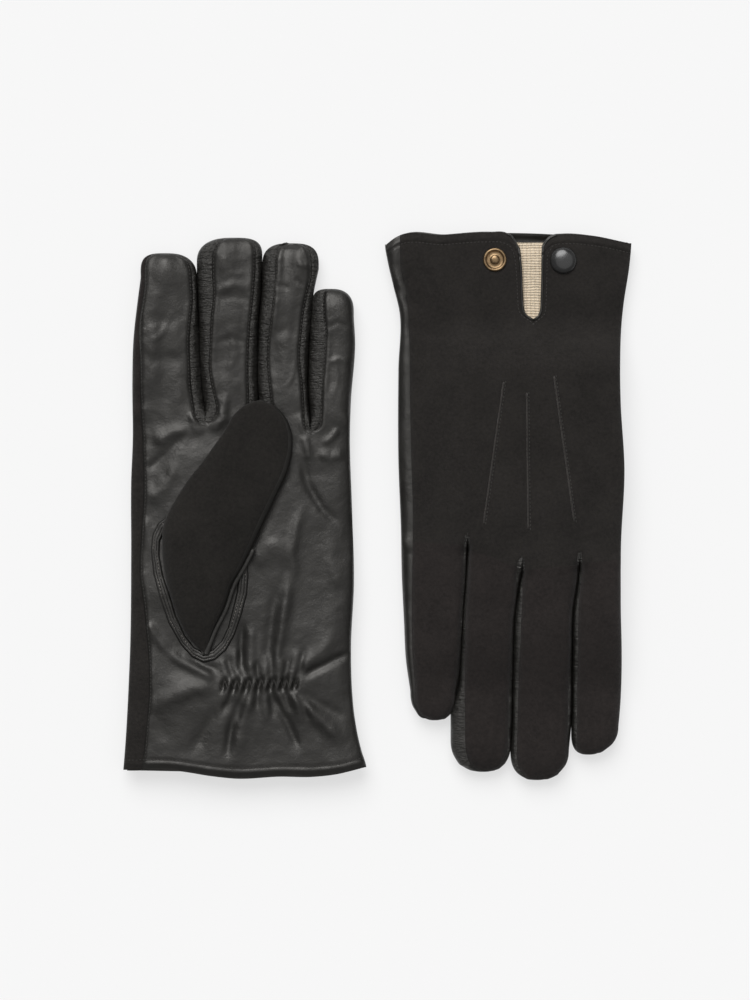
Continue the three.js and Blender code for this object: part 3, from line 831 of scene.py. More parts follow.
def nappa_material(name, colour, gloss=0.43, creased=False):
    """Smooth glove leather: fine grain in cells, pores, soft mottling and a satin surface."""
    material, tree, shader = node_material(name)
    place = object_place(tree)
    mottle = noise_texture(tree, place, 45, 5)
    worn = noise_texture(tree, place, 110, 4)
    cells = tree.nodes.new("ShaderNodeTexVoronoi")
    cells.feature = "DISTANCE_TO_EDGE"
    wire(tree, cells, {"Scale": 1500, "Vector": place})
    grain = bump(tree, cells.outputs["Distance"], 0.28, 0.00012)
    grain = bump(tree, noise_texture(tree, place, 900, 6, 0.65), 0.35, 0.00016, grain)
    grain = bump(tree, noise_texture(tree, place, 190, 5, 0.6), 0.45, 0.0008, grain)
    if creased:
        # Fine creases run across the narrow strips between the fingers.
        squashed = stretched(tree, place, (0.26, 1.0, 0.26))
        grain = bump(tree, noise_texture(tree, squashed, 1150, 4, 0.6), 0.9, 0.0012, grain)
    wire(tree, shader, {
        "Base Color": ramp(tree, mottle, colour, 0.72, 1.35, 0.3, 0.72),
        "Specular IOR Level": 0.5,
        "Specular Tint": (1.0, 0.975, 0.935, 1),
        "Roughness": map_range(tree, worn, gloss - 0.06, gloss + 0.12),
        "Normal": grain,
    })
    return material


def suede_material(name, colour, sheen=0.10):
    """Napped leather: matt fibre, brushed patches lighter and darker."""
    material, tree, shader = node_material(name)
    place = object_place(tree)
    patches = noise_texture(tree, place, 60, 7, 0.62)
    nap = noise_texture(tree, place, 700, 7, 0.75)
    mixed = tree.nodes.new("ShaderNodeMix")
    mixed.data_type = "RGBA"
    mixed.inputs["Factor"].default_value = 0.5
    tree.links.new(ramp(tree, patches, colour, 0.68, 1.42, 0.34, 0.68), mixed.inputs[6])
    tree.links.new(ramp(tree, nap, colour, 0.30, 2.05, 0.30, 0.72), mixed.inputs[7])
    fibres = bump(tree, nap, 0.85, 0.00045)
    wire(tree, shader, {
        "Base Color": mixed.outputs[2],
        "Roughness": 0.95,
        "Specular IOR Level": 0.18,
        "Sheen Weight": sheen,
        "Sheen Roughness": 0.45,
        "Normal": bump(tree, noise_texture(tree, place, 230, 5, 0.6), 0.35, 0.0006, fibres),
    })
    return material


def knit_material(name, colour):
    """Fine rib knit: its ribs are geometry where it shows, its loops are in the bump."""
    material, tree, shader = node_material(name)
    place = object_place(tree)
    loops = tree.nodes.new("ShaderNodeTexWave")
    loops.bands_direction = "Y"
    wire(tree, loops, {"Scale": 190, "Distortion": 3.0, "Detail": 2.0,
                       "Vector": stretched(tree, place, (1.0, 1.35, 1.0))})
    rows = bump(tree, loops.outputs["Fac"], 0.6, 0.0004)
    wire(tree, shader, {
        "Base Color": ramp(tree, loops.outputs["Fac"], colour, 0.66, 1.12, 0.1, 0.8),
        "Roughness": 0.95,
        "Sheen Weight": 0.15,
        "Normal": bump(tree, noise_texture(tree, place, 1400, 5, 0.7), 0.5, 0.0003, rows),
    })
    return material


def metal_material(name, colour):
    """Worn metal, duller where it has rubbed."""
    material, tree, shader = node_material(name)
    wear = noise_texture(tree, object_place(tree), 600, 5)
    wire(tree, shader, {
        "Base Color": ramp(tree, wear, colour, 0.7, 1.2, 0.3, 0.75),
        "Metallic": 1.0,
        "Roughness": map_range(tree, wear, 0.29, 0.48),
        "Normal": bump(tree, wear, 0.12, 0.00008),
    })
    return material


def lacquer_material(name, colour):
    """Glossy paint with a faint haze."""
    material, tree, shader = node_material(name)
    haze = noise_texture(tree, object_place(tree), 350, 5)
    wire(tree, shader, {
        "Base Color": ramp(tree, haze, colour, 0.8, 1.5),
        "Roughness": map_range(tree, haze, 0.20, 0.34),
        "Coat Weight": 0.4,
        "Coat Roughness": 0.12,
        "Normal": bump(tree, haze, 0.06, 0.0001),
    })
    return material


def thread_material(name, colour):
    """Sewing thread, its twist in the bump."""
    material, tree, shader = node_material(name)
    twist = noise_texture(tree, object_place(tree), 2600, 3)
    wire(tree, shader, {
        "Base Color": ramp(tree, twist, colour, 0.5, 1.8),
        "Roughness": 0.7,
        "Normal": bump(tree, twist, 0.4, 0.0001),
    })
    return material


FINISHES = {}


def make_finishes():
    """The materials of all the pieces, from the colours in the scene."""
    colours = bpy.context.scene.glove_colours
    FINISHES.update(
        nappa=nappa_material("palm_nappa", colours.nappa),
        finger_nappa=nappa_material("finger_nappa", colours.nappa),
        gusset=nappa_material("gusset_nappa", scaled(colours.nappa, 1.3), 0.34, creased=True),
        piping=nappa_material("piping_nappa", colours.nappa, 0.36),
        suede=suede_material("back_suede", colours.suede),
        # Painted highlight: the drawn points' suede is the back suede made twice as light, standing in for
        # the light their ridges catch.
        ridge=suede_material("ridge_suede_painted_highlight", scaled(colours.suede, 2.0), 0.2),
        finger_suede=suede_material("finger_suede", colours.finger_suede),
        thumb_suede=suede_material("thumb_suede", colours.thumb_suede, 0.06),
        knit=knit_material("rib_knit", colours.knit),
        brass=metal_material("brass", colours.brass),
        cap=lacquer_material("black_lacquer", colours.cap),
        thread=thread_material("black_thread", colours.thread),
        # Painted highlight: the rim's black thread is made seven times lighter, standing in for the light
        # its stitches catch.
        rim_thread=thread_material("rim_thread", scaled(colours.thread, 7)),
    )


def finish(made, nodes=(), body=None, blend=None):
    """Hides the nodes that a piece stands for and ties it to its body; a piece given a blend has its place
    baked into its mesh instead.
    """
    if nodes:
        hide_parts(*nodes)
    if blend is not None:
        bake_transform(made)
    else:
        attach(made, body)
    return made


# ------------------------------------------------------------------ stitches


def stitch_group():
    """Geometry Nodes tree: short stitches set along the curves of a line mesh, each turned to follow it."""
    tree = bpy.data.node_groups.new("stitch_run", "GeometryNodeTree")
    face = tree.interface
    face.new_socket("Geometry", in_out="INPUT", socket_type="NodeSocketGeometry")
    for name in ("Spacing", "Length", "Thickness"):
        face.new_socket(name, in_out="INPUT", socket_type="NodeSocketFloat")
    face.new_socket("Material", in_out="INPUT", socket_type="NodeSocketMaterial")
    face.new_socket("Geometry", in_out="OUTPUT", socket_type="NodeSocketGeometry")
    node = tree.nodes.new
    start, end = node("NodeGroupInput"), node("NodeGroupOutput")
    curve = wire(tree, node("GeometryNodeMeshToCurve"), {"Mesh": start.outputs["Geometry"]})
    spread = node("GeometryNodeResampleCurve")
    spread.mode = "LENGTH"
    wire(tree, spread, {"Curve": curve.outputs["Curve"], "Length": start.outputs["Spacing"]})
    turn = node("FunctionNodeAlignRotationToVector")
    turn.axis = "Z"
    wire(tree, turn, {"Vector": node("GeometryNodeInputTangent").outputs["Tangent"]})
    thickness = start.outputs["Thickness"]
    size_of = wire(tree, node("ShaderNodeCombineXYZ"),
                   {"X": thickness, "Y": thickness, "Z": start.outputs["Length"]})
    bead = wire(tree, node("GeometryNodeMeshUVSphere"), {"Segments": 8, "Rings": 6, "Radius": 0.5})
    on_points = wire(tree, node("GeometryNodeInstanceOnPoints"), {
        "Points": spread.outputs["Curve"], "Instance": bead.outputs["Mesh"],
        "Rotation": turn.outputs["Rotation"], "Scale": size_of.outputs["Vector"]})
    real = wire(tree, node("GeometryNodeRealizeInstances"), {"Geometry": on_points.outputs["Instances"]})
    soft = wire(tree, node("GeometryNodeSetShadeSmooth"), {"Geometry": real.outputs["Geometry"]})
    paint = wire(tree, node("GeometryNodeSetMaterial"),
                 {"Geometry": soft.outputs["Geometry"], "Material": start.outputs["Material"]})
    wire(tree, end, {"Geometry": paint.outputs["Geometry"]})
    return tree


def stitches(name, glove, paths, thread="thread"):
    """The stitches of one piece as a plain mesh; each path is a run of the glove's own points."""
    group = bpy.data.node_groups.get("stitch_run") or stitch_group()
    sizes = bpy.context.scene.glove_sizes
    points, edges = [], []
    for path in paths:
        first = len(points)
        points += [tuple(p) for p in glove.place(path)]
        edges += [(k, k + 1) for k in range(first, len(points) - 1)]
    mesh = bpy.data.meshes.new(name)
    mesh.from_pydata(points, edges, [])
    made = bpy.data.objects.new(name, mesh)
    bpy.context.scene.collection.objects.link(made)
    run = made.modifiers.new("Stitches", "NODES")
    run.node_group = group
    wanted = {"Spacing": sizes.stitch_spacing, "Length": sizes.stitch_length, "Thickness": sizes.thread,
              "Material": FINISHES[thread]}
    for socket in group.interface.items_tree:
        if socket.item_type == "SOCKET" and socket.in_out == "INPUT" and socket.name in wanted:
            run[socket.identifier] = wanted[socket.name]
    plain_mesh(made)
    made.data.shade_smooth()
    return made


def on_surface(skin, path, top=True, part="hand", above=0.1, step=1.2):
    """A plan path laid on the finished surface."""
    path = np.array(path, float)
    lengths = np.concatenate([[0], np.cumsum(np.linalg.norm(np.diff(path, axis=0), axis=1))])
    at = np.linspace(0, lengths[-1], max(3, int(lengths[-1] / step)))
    x, y = np.interp(at, lengths, path[:, 0]), np.interp(at, lengths, path[:, 1])
    z = skin.height(x, y, top, part) + (above if top else -above)
    return np.stack([x, y, z], axis=1)


# ------------------------------------------------------------------ folds of the two gloves

THUMB_RIM = ((-39.5, 115), (-42, 109.7), (-42.6, 102.9), (-41.4, 92.4), (-38.3, 81.2), (-34.5, 70.1),
             (-29, 60.1),
             (-24, 54.5), (-19.1, 52.1), (-14.1, 53.3), (-9.2, 57.7), (-5.4, 64.5), (-2.3, 73.8),
             (0.1, 83.1), (0.8, 91.1))
THUMB_RIM_UNDER = ((0.2, 99), (-4, 107), (-13, 114), (-24, 119), (-34, 119.5))
THUMB_LEFT = ((-20, 56.5), (-24, 60.5), (-28.0, 66), (-32.0, 75), (-35.3, 85), (-37.4, 94.5), (-38.2, 103),
              (-38.2, 109), (-37.8, 114), (-36.2, 119), (-32.1, 126.5), (-25.2, 137), (-20.3, 143),
              (-13.9, 151.9),
              (-8.4, 159.8), (-5.4, 165.3), (0.5, 170.6), (7.4, 173))
THUMB_RIGHT = ((-18.8, 54.4), (-17.8, 57), (-14.1, 66.4), (-9.2, 76.3), (-5.4, 87.4), (-0.5, 96.1),
               (4.5, 106),
               (10.7, 119.6), (16.9, 132.7), (18.4, 135.8), (21.3, 144.5), (22.4, 151.9), (21.9, 157.9),
               (19.4, 164.3),
               (14.4, 169.8), (7.4, 173))
WRIST_GATHERS = (-7.3, -2.0, 3.5, 9.2, 15.2, 20.8)


def wrist_relief(x, y):
    """The elastic draws the palm in at the wrist: six upright puffs and folds that fan out from them."""
    ahead = 0.02 * (x - 6) + 40.8
    band = np.exp(-((y - ahead) / 3.2) ** 4) * smoothstep(x, -13, -9) * (1 - smoothstep(x, 23, 27))
    wave = np.cos((x + 7.3 - 0.25 * (y - ahead)) / 5.62 * 2 * math.pi)
    push = band * (1.15 * wave - 0.5)
    marks = []
    for k, at in enumerate(WRIST_GATHERS):
        lean = (at - 6.7) * 0.5
        long = (6, 11, 4, 9, 6, 10)[k]
        marks.append((((at + 2.8, 39), (at + 2.8 + lean * 0.4, 33), (at + 2.8 + lean, 33 - long)), 1.5,
                      -0.6))
        marks.append((((at, 39), (at + lean * 0.4, 33), (at + lean * 0.9, 31 - long)), 1.9, 0.6))
        marks.append((((at + 2.8, 43), (at + 2.8 + lean * 0.3, 48), (at + 2.8 + lean * 0.6, 49 + long)),
                      1.4, -0.6))
        marks.append((((at, 43), (at + lean * 0.3, 48), (at + lean * 0.5, 48 + long)), 1.9, 0.6))
    marks += [
        (((-2, 38), (-3.5, 31), (-6.3, 20), (-9, 4)), 2.0, -1.5),
        (((1.5, 38), (0.5, 30), (-1.5, 19), (-3, 8)), 3.0, 0.8),
        (((-4, 36), (-14, 27), (-22, 14), (-26, 5)), 3.0, -0.9),
        (((12.0, 38), (18, 27), (23, 16), (26.3, 8)), 2.2, -1.3),
        (((20, 39), (29, 30.5), (38.7, 21), (48, 13)), 3.2, 1.5),
        (((24, 38), (32, 33), (42, 28), (50, 25)), 2.6, -0.8),
        (((25, 44), (33, 48), (41, 52), (52, 57)), 1.8, -1.3),
        (((24, 48), (34, 55), (44, 64)), 3.2, 0.8),
        (((-13, 40), (-24, 39), (-36, 34), (-46, 30)), 4.0, 1.3),
        (((-12, 43), (-20, 47), (-30, 52), (-38, 58)), 2.2, 1.3),
        (((-12, 47), (-20, 50.5), (-27, 55)), 1.6, -0.9),
        (((14, 46), (16, 60), (19, 78), (22, 96)), 2.6, 1.3),
        (((9, 46), (11, 60), (13, 76), (15, 88)), 2.6, -1.0),
        (((-3, 44), (-2, 54), (-1, 72)), 1.8, -1.2),
        (((2, 46), (3, 58), (3.5, 70)), 2.4, 0.8),
    ]
    return push + strokes(x, y, marks)


def left_palm_relief(x, y):
    """Nappa palm: broad softness, hand creases, folds at the finger roots and tips."""
    push = 1.0 * ripple(x, y, (19, 26), 1) + 0.30 * ripple(x, y, 9, 2) + 0.09 * ripple(x, y, 3.2, 3)
    push = push + 0.85 * ripple(x, y, (7, 21), 7) * smoothstep(y, 160, 185)
    push = push + wrist_relief(x, y)
    marks = [
        # creases across the palm
        (((46, 114), (36, 122), (29, 134), (26, 150)), 2.2, -1.1),
        (((2, 97), (12, 105), (24, 101)), 5.0, 0.9),
        (((24, 88), (22, 100), (24, 114), (28, 128)), 2.4, 0.9),
        (((44, 84), (40, 98), (42, 112)), 3.2, 0.6),
        (((-47, 125), (-38, 132), (-30, 145)), 3.0, 0.9),
        (((-46, 140), (-36, 148), (-27, 158)), 2.0, -0.9),
        (((-42, 152), (-34, 158), (-24, 160)), 2.4, 0.9),
        (((47, 148), (40, 146), (33, 149)), 2.4, 0.9),
        (((44, 160), (40, 155), (35, 152)), 1.6, 0.8),
        (((27, 157), (29, 151), (30, 144)), 2.0, 0.8),
        (((-17, 158), (-10, 164), (-9, 178)), 2.2, 0.9),
        (((-25, 168), (-23, 160), (-18, 157)), 2.2, 0.8),
        (((-48, 120), (-44, 112), (-44, 98)), 2.2, 0.6),
        (((-46, 70), (-40, 62), (-34, 55)), 2.4, 0.9),
        # across the fingers
        (((-46, 190), (-37, 193), (-27, 190)), 3.0, -0.5),
        (((-46, 212), (-37, 209), (-27, 213)), 3.0, -0.4),
        (((-44, 199), (-38, 204), (-34, 214)), 1.6, 0.4),
        (((-15, 223), (-5, 226.5), (4, 224)), 2.0, 0.6),
        (((-14, 219.5), (-5, 221), (3, 219)), 1.8, -0.3),
        (((-7, 232.5), (-3, 231.5), (0, 231.5)), 1.0, 0.4),
        (((-14, 199), (-6, 202), (1, 199)), 1.4, -0.4),
        (((-8, 184), (-5, 196), (-6, 208)), 1.8, 0.35),
        (((17, 244), (21, 245), (26, 244)), 1.0, -0.4),
        (((24, 236), (28, 235.5), (32, 236)), 1.4, 0.5),
        (((23, 230), (25, 228), (28, 225)), 1.1, -0.4),
        (((14, 226), (18, 225.5), (21, 224)), 1.2, -0.45),
        (((13, 203), (19, 206), (26, 204)), 2.6, -0.4),
        (((19, 178), (22, 183), (23, 192)), 1.0, 0.3),
        (((37, 206), (43, 209), (50, 206)), 1.3, -0.4),
        (((38, 190), (44, 192), (50, 189)), 1.3, 0.4),
        (((40, 172), (43, 182), (42, 196)), 1.6, 0.35),
    ]
    return push + strokes(x, y, marks)


def plain_relief(x, y):
    """The faces that lie on the table: the left glove's back and the right one's palm."""
    return 0.18 * ripple(x, y, 16, 5) + 0.06 * ripple(x, y, 4, 6)


BACK_POINTS = (((2.8, 67.4), (12, 132.6)), ((-7.9, 72.5), (-8.6, 135.3)), ((-20.5, 64.6), (-29.8, 131.7)))


def right_back_relief(x, y):
    """Suede back: three drawn points, a bunched little-finger corner and gathers at the fingertips."""
    push = 0.42 * ripple(x, y, 26, 11) + 0.16 * ripple(x, y, 8, 12) + 0.06 * ripple(x, y, 3, 13)
    for path in BACK_POINTS:
        distance, place = near_path(x, y, path)
        fade = smoothstep(place, 0, 0.05) * (1 - smoothstep(place, 0.95, 1))
        push = push - fade * 0.5 * np.exp(-(distance / 1.7) ** 2)
    marks = [
        (((53, 8), (49, 20), (46, 34)), 1.6, -0.7),
        (((49, 6), (43, 16), (38, 30)), 2.2, 0.6),
        (((44, 8), (37, 20), (30, 34)), 1.8, -0.5),
        (((55, 20), (48, 28), (40, 33)), 1.4, -0.6),
        (((50, 40), (36, 45), (20, 46)), 2.6, -0.4),
        (((-52, 44), (-38, 47), (-20, 46)), 2.6, -0.35),
        (((14, 40), (10, 30), (11, 18)), 2.0, 0.4),
        (((28, 60), (24, 90), (26, 118)), 3.0, 0.3),
    ]
    tips = smoothstep(y, 214, 236)
    gathers = tips * (0.30 * ripple(x, y, (2.4, 6), 14) + 0.22 * ripple(x, y, 2.6, 15))
    return push + strokes(x, y, marks) + gathers


# ------------------------------------------------------------------ pieces

SKINS = {}


def skin_of(side):
    """The skin of one glove, worked out once."""
    if side not in SKINS:
        makers = {"left": (left_glove, left_palm_relief), "right": (right_glove, right_back_relief)}
        glove, relief = makers[side]
        SKINS[side] = Skin(glove(), relief, plain_relief)
    return SKINS[side]


HINGES = {"left": {"index": (-36, 176), "middle": (-7, 176), "ring": (18, 176), "little": (40, 170)},
          "right": {"index": (-41, 162.5), "middle": (-16, 161.5), "ring": (9, 161), "little": (35, 157.5)}}
FOLD_REACH = 8.0


def finger_blend(glove, finger):
    """The hand, the finger and the stretch of leather between them that bends."""
    x, y = HINGES[glove.side][finger]
    start, end = glove.place([(x, y - FOLD_REACH, 6.5), (x, y + FOLD_REACH, 6.5)])
    return glove.hand_body, f"{glove.side}_{finger}", start, end


def flap_blend(glove):
    """The hand, the flap and the line that the flap folds along."""
    x, y = FOLD_TO
    start, end = glove.place([(x - FLAP_WAY[0], y - FLAP_WAY[1], 6),
                              (x + 3.5 * FLAP_WAY[0], y + 3.5 * FLAP_WAY[1], 6)])
    return glove.hand_body, f"{glove.side}_flap", start, end


def thumb_blend(glove):
    """The hand, the thumb and the line about which the left thumb would open from its hole and the right
    one swing out flat.
    """
    if glove.palm_up:
        start, end = glove.place([(-31, 82.8, 15.6), (-16, 89.5, 15.6)])
    else:
        start, end = glove.place([(-32, 66, 4), (-20, 96, 4)])
    return glove.hand_body, f"{glove.side}_thumb", start, end


def hand_pieces(skin):
    """Palm leather, suede back, flap, turned-in hem, crotch webs and the elastic under the wrist."""
    glove, ring = skin.glove, skin.hand
    side, w, hc, c = glove.side, WEB_STEPS, HAND_COLUMNS, COLUMN_STEPS
    rows, around = ring.shape[0], ring.shape[1]
    vent_top = not glove.palm_up
    a, b = skin.vent_columns
    vent_row = int(np.argmin(np.abs(skin.face(vent_top)[:, a, 1] - VENT_TOP)))
    flap_row = vent_row + 6
    squares = np.ones((rows - 1, around), bool)
    webs = []
    for gap in range(3):
        border = (gap + 1) * c
        for top in (True, False):
            face = skin.face(top)
            first = int(np.argmax(face[:, border, 1] >= glove.slits[gap] - U_END - 0.01))
            low, high = (border - w, border + w) if top else (around - border - w, around - border + w)
            webs.append((f"{gap + 1}_{'top' if top else 'under'}", first, low, high))
            squares[first:, low:high] = False
    vent_at = a if vent_top else around - b
    squares[:vent_row, vent_at] = False
    if glove.palm_up:
        palm, back = (w, hc + w), (hc + w, 2 * hc + w)
        flap = (around - a, 2 * hc + w)
    else:
        palm, back = (hc - w, 2 * hc - w), (2 * hc - w, 3 * hc - w)
        flap = (2 * hc - w, 2 * hc + a)

    def piece(name, span, row_span, slot_name, finish_name, nodes, blend=None, without=()):
        mask = squares.copy()
        for block_rows, (first, last) in without:
            mask[block_rows, np.arange(first, last) % around] = False
        columns = np.arange(span[0], span[1] + 1) % around
        grid = ring[row_span][:, columns]
        keep = mask[row_span.start or 0:(row_span.stop or rows) - 1][:, columns[:-1]]
        made = skin_piece(f"{side}_{name}", glove, grid, FINISHES[finish_name], keep=keep)
        return finish(made, [f"{side}_{n}" for n in nodes], glove.hand_body, blend)

    everything = slice(0, rows)
    piece("palm_skin", palm, everything, "palm_leather", "nappa", ["palm_leather"])
    piece("back_skin", back, everything, "back_suede", "suede", ["back_suede"],
          without=[(slice(0, flap_row), flap)])
    piece("flap_skin", flap, slice(0, flap_row + 1), "back_suede", "suede", ["snap_flap"],
          flap_blend(glove))

    for name, first, low, high in webs:
        made = skin_piece(f"{side}_crotch_{name}", glove, ring[first:, low:high + 1], FINISHES["gusset"])
        finish(made, body=glove.hand_body)

    # The hem is turned in and lies against the inside of the cuff.
    inner = inset(ring[:HEM_ROWS + 2], 0.86)
    inner[0, :, 1] -= 0.42
    hem_squares = squares[:HEM_ROWS + 1].copy()
    flap_columns = np.arange(flap[0], flap[1]) % around
    flap_squares = np.zeros_like(hem_squares)
    flap_squares[:, flap_columns] = hem_squares[:, flap_columns]
    hem_squares[:, flap_columns] = False
    closed = np.concatenate([inner, inner[:, :1]], axis=1)
    hem = skin_piece(f"{side}_hem_turned", glove, closed, FINISHES["nappa"], keep=hem_squares)
    finish(hem, [f"{side}_cuff_hem"], glove.hand_body)
    hem = skin_piece(f"{side}_flap_hem", glove, closed, FINISHES["nappa"], keep=flap_squares)
    finish(hem, blend=flap_blend(glove))

    # Elastic tape across the inside of the palm.
    band = inset(ring, 1.35)
    first = int(np.argmax(skin.face(glove.palm_up)[:, hc // 2, 1] > 36.5))
    span = (c, 3 * c) if glove.palm_up else (around - 3 * c, around - c)
    tape = skin_piece(f"{side}_elastic", glove, band[first:first + 6, span[0]:span[1] + 1],
                      FINISHES["thread"], 0.5)
    finish(tape, [f"{side}_wrist_elastic"], glove.hand_body)


def inset(ring, depth):
    """A ring grid drawn in by depth, away from the leather."""
    out = ring.copy()
    half = ring.shape[1] // 2
    index, little = ring[:, :1, 0], ring[:, half:half + 1, 0]
    centre, width = (index + little) / 2, (little - index) / 2
    out[..., 0] = centre + (ring[..., 0] - centre) * (width - 2.1 * depth) / width
    middle = (ring[:, :1, 2] + ring[:, half:half + 1, 2]) / 2
    rise = ring[..., 2] - middle
    out[..., 2] = middle + rise - np.sign(rise) * np.minimum(np.abs(rise) * 0.8, depth)
    return out


def finger_pieces(skin, finger):
    """One finger: its palm and back lobes, the gussets between them, its lining and its stitches."""
    glove = skin.glove
    side, w, c = glove.side, WEB_STEPS, COLUMN_STEPS
    m = w + LOBE_STEPS
    ring = skin.fingers[finger]
    ring[-1] = ring[-1].mean(axis=0)
    up = glove.palm_up
    top, under = (w, m), (2 * c - m, 2 * c - w)
    palm, back = (top, under) if up else (under, top)
    if finger == "index":
        back = (back[0], 2 * c + w) if up else (2 * c - w, 2 * c + m)
    if finger == "little":
        palm = (w, 2 * c - m) if up else (m, palm[1])
    blend = finger_blend(glove, finger)

    def piece(name, span, slot_name, finish_name):
        grid = take_columns(ring, *span)
        made = skin_piece(f"{side}_{finger}_{name}_skin", glove, grid, FINISHES[finish_name])
        finish(made, [f"{side}_{finger}_{name}"], blend=blend)

    piece("palm_lobe", palm, "finger_leather", "finger_nappa")
    piece("back_lobe", back, "finger_suede", "finger_suede")
    if finger != "little":
        piece("outer_gusset", (m, 2 * c - m), "gusset_leather", "gusset")
    if finger != "index":
        piece("inner_gusset", (2 * c - w, 2 * c + w), "gusset_leather", "gusset")

    centre = ring.mean(axis=1, keepdims=True)
    sleeve = centre + (ring - centre) * np.array([0.82, 1.0, 0.66])
    sleeve = np.concatenate([sleeve[:-10:3], sleeve[-11:-10]])[:, ::2]
    sleeve = np.concatenate([sleeve, sleeve[:, :1]], axis=1)
    made = skin_piece(f"{side}_{finger}_sleeve", glove, sleeve, FINISHES["knit"], 0.5)
    finish(made, [f"{side}_{finger}_lining"], blend=blend)

    paths = []
    for top in (True, False):
        face = skin.face(top, finger)
        for place, column in ((0, w + 1), (1, m - 1)):
            if has_seam(glove, finger, place, top) and top == glove.palm_up:
                path = face[3:-9, column].copy()
                path[:, 2] += 0.1 if top else -0.1
                paths.append(path)
    finish(stitches(f"{side}_{finger}_stitches", glove, paths), blend=blend)


def lining_pieces(skin):
    """Knitted lining of the hand, and the ribbed tongue that shows in the vent."""
    glove, ring = skin.glove, skin.hand
    side = glove.side
    tube = inset(ring, 3.4)[8:-8:3, ::3]
    tube = np.concatenate([tube, tube[:, :1]], axis=1)
    made = skin_piece(f"{side}_hand_knit", glove, tube, FINISHES["knit"], 0.5)
    finish(made, [f"{side}_hand_lining"], glove.hand_body)

    top = not glove.palm_up
    sign = 1 if top else -1
    across, along = np.linspace(-1, 1, 90), np.linspace(2.2, 42, 150)
    y = np.repeat(along[:, None], len(across), axis=1)
    centre = (FLAP_EDGE(y) + STUD_EDGE(y)) / 2
    width = (STUD_EDGE(y) - FLAP_EDGE(y)) / 2 + 1.7
    x = centre + width * across[None]
    edge_z = skin.height(centre[::5, 45], along[::5], top)
    z = np.interp(along, along[::5], edge_z)[:, None] - sign * (2.0 + 0.7 * (1 - across[None] ** 2))
    ribs = np.abs(np.cos(x / 1.9 * math.pi)) ** 0.7
    loops = 0.5 + 0.5 * np.cos(y / 0.95 * 2 * math.pi + 2.4 * np.abs((x / 1.9) % 1 - 0.5) * math.pi)
    z = z + sign * (0.55 * ribs + 0.14 * loops * ribs)
    grid = np.stack([x, y, z], axis=2)
    if not top:
        grid = grid[:, ::-1]
    made = skin_piece(f"{side}_vent_knit", glove, grid, FINISHES["knit"], 0.5)
    finish(made, body=glove.hand_body)


PIPING_RADIUS = 0.62
CAP_AT = (-25.2, 10.7)
STUD_AT = (6.6, 10.3)

# Profiles of the snap's three parts: radius, then height above the leather.
CAP = ((0, 2.5), (1.2, 2.46), (2.6, 2.3), (4.0, 1.98), (5.1, 1.45), (5.9, 0.75), (6.2, 0.2), (6.1, -0.2),
       (5.6, -0.5),
       (0, -0.5))
SOCKET = ((0, 0.2), (4.3, 0.2), (4.5, 0.0), (4.3, -0.5), (3.4, -1.0), (2.6, -1.3), (2.2, -1.2), (2.1, -0.6),
          (0, -0.5))
STUD = ((0, 2.25), (0.9, 2.22), (1.8, 2.0), (2.2, 1.6), (2.05, 1.1), (1.9, 0.5), (2.4, 0.25), (3.5, 0.2),
        (4.1, 0.5), (4.4, 0.95), (4.95, 1.0), (5.4, 0.7), (5.5, 0.0), (5.15, -0.4), (0, -0.4))
FLAP_THICKNESS = 0.8


def vent_pieces(skin):
    """Leather piping round the vent, and the snap: cap and socket on the flap, stud on the other side."""
    glove = skin.glove
    side, top = glove.side, not glove.palm_up
    up = 1 if top else -1
    face = skin.face(top)
    a, b = skin.vent_columns
    rows = int(np.argmin(np.abs(face[:, a, 1] - VENT_TOP)))

    def edge(column, step):
        path = face[0:rows, column].copy()
        path[:, 0] += step * 0.1
        path[:, 2] -= up * 0.15
        return path

    def corner(columns):
        path = face[0, columns].copy()
        path[:, 1] += 0.2
        path[:, 2] += up * 0.1
        return path

    apex = np.array([[VENT_APEX_X, VENT_TOP + 0.5, 0.0]])
    apex[:, 2] = skin.height(apex[:, 0], apex[:, 1], top) - up * 0.1
    flap_path = np.concatenate([corner(slice(a - 9, a)), edge(a, 1)[1:], apex])
    stud_path = np.concatenate([corner(slice(b + 9, b, -1)), edge(b, -1)[1:], apex])
    made = sweep(f"{side}_stud_piping", glove, stud_path, PIPING_RADIUS, FINISHES["piping"])
    finish(made, [f"{side}_vent_piping"], glove.hand_body)
    made = sweep(f"{side}_flap_piping", glove, flap_path, PIPING_RADIUS, FINISHES["piping"])
    finish(made, blend=flap_blend(glove))

    for name, profile, at, deep, finish_name, slot_name, body in (
            ("cap", CAP, CAP_AT, 0, "cap", "snap_cap", f"{side}_flap"),
            ("socket", SOCKET, CAP_AT, FLAP_THICKNESS, "brass", "brass", f"{side}_flap"),
            ("stud", STUD, STUD_AT, 0, "brass", "brass", glove.hand_body)):
        base = float(skin.height(*at, top)[0]) - up * deep
        made = turned(f"{side}_{name}", glove, profile, at, base, up, FINISHES[finish_name])
        finish(made, [f"{side}_snap_{name}"], body)


def resampled(path, shares):
    """A smooth line through the points of a path, at these shares of its length."""
    path = np.array(path, float)
    lengths = np.concatenate([[0], np.cumsum(np.linalg.norm(np.diff(path, axis=0), axis=1))])
    at = shares * lengths[-1]
    smooth_x, smooth_y = Line(*zip(lengths, path[:, 0])), Line(*zip(lengths, path[:, 1]))
    return smooth_x(at), smooth_y(at)


THUMB_ROWS = 130
THUMB_COLUMNS = 44
STRIP_COLUMNS = 7


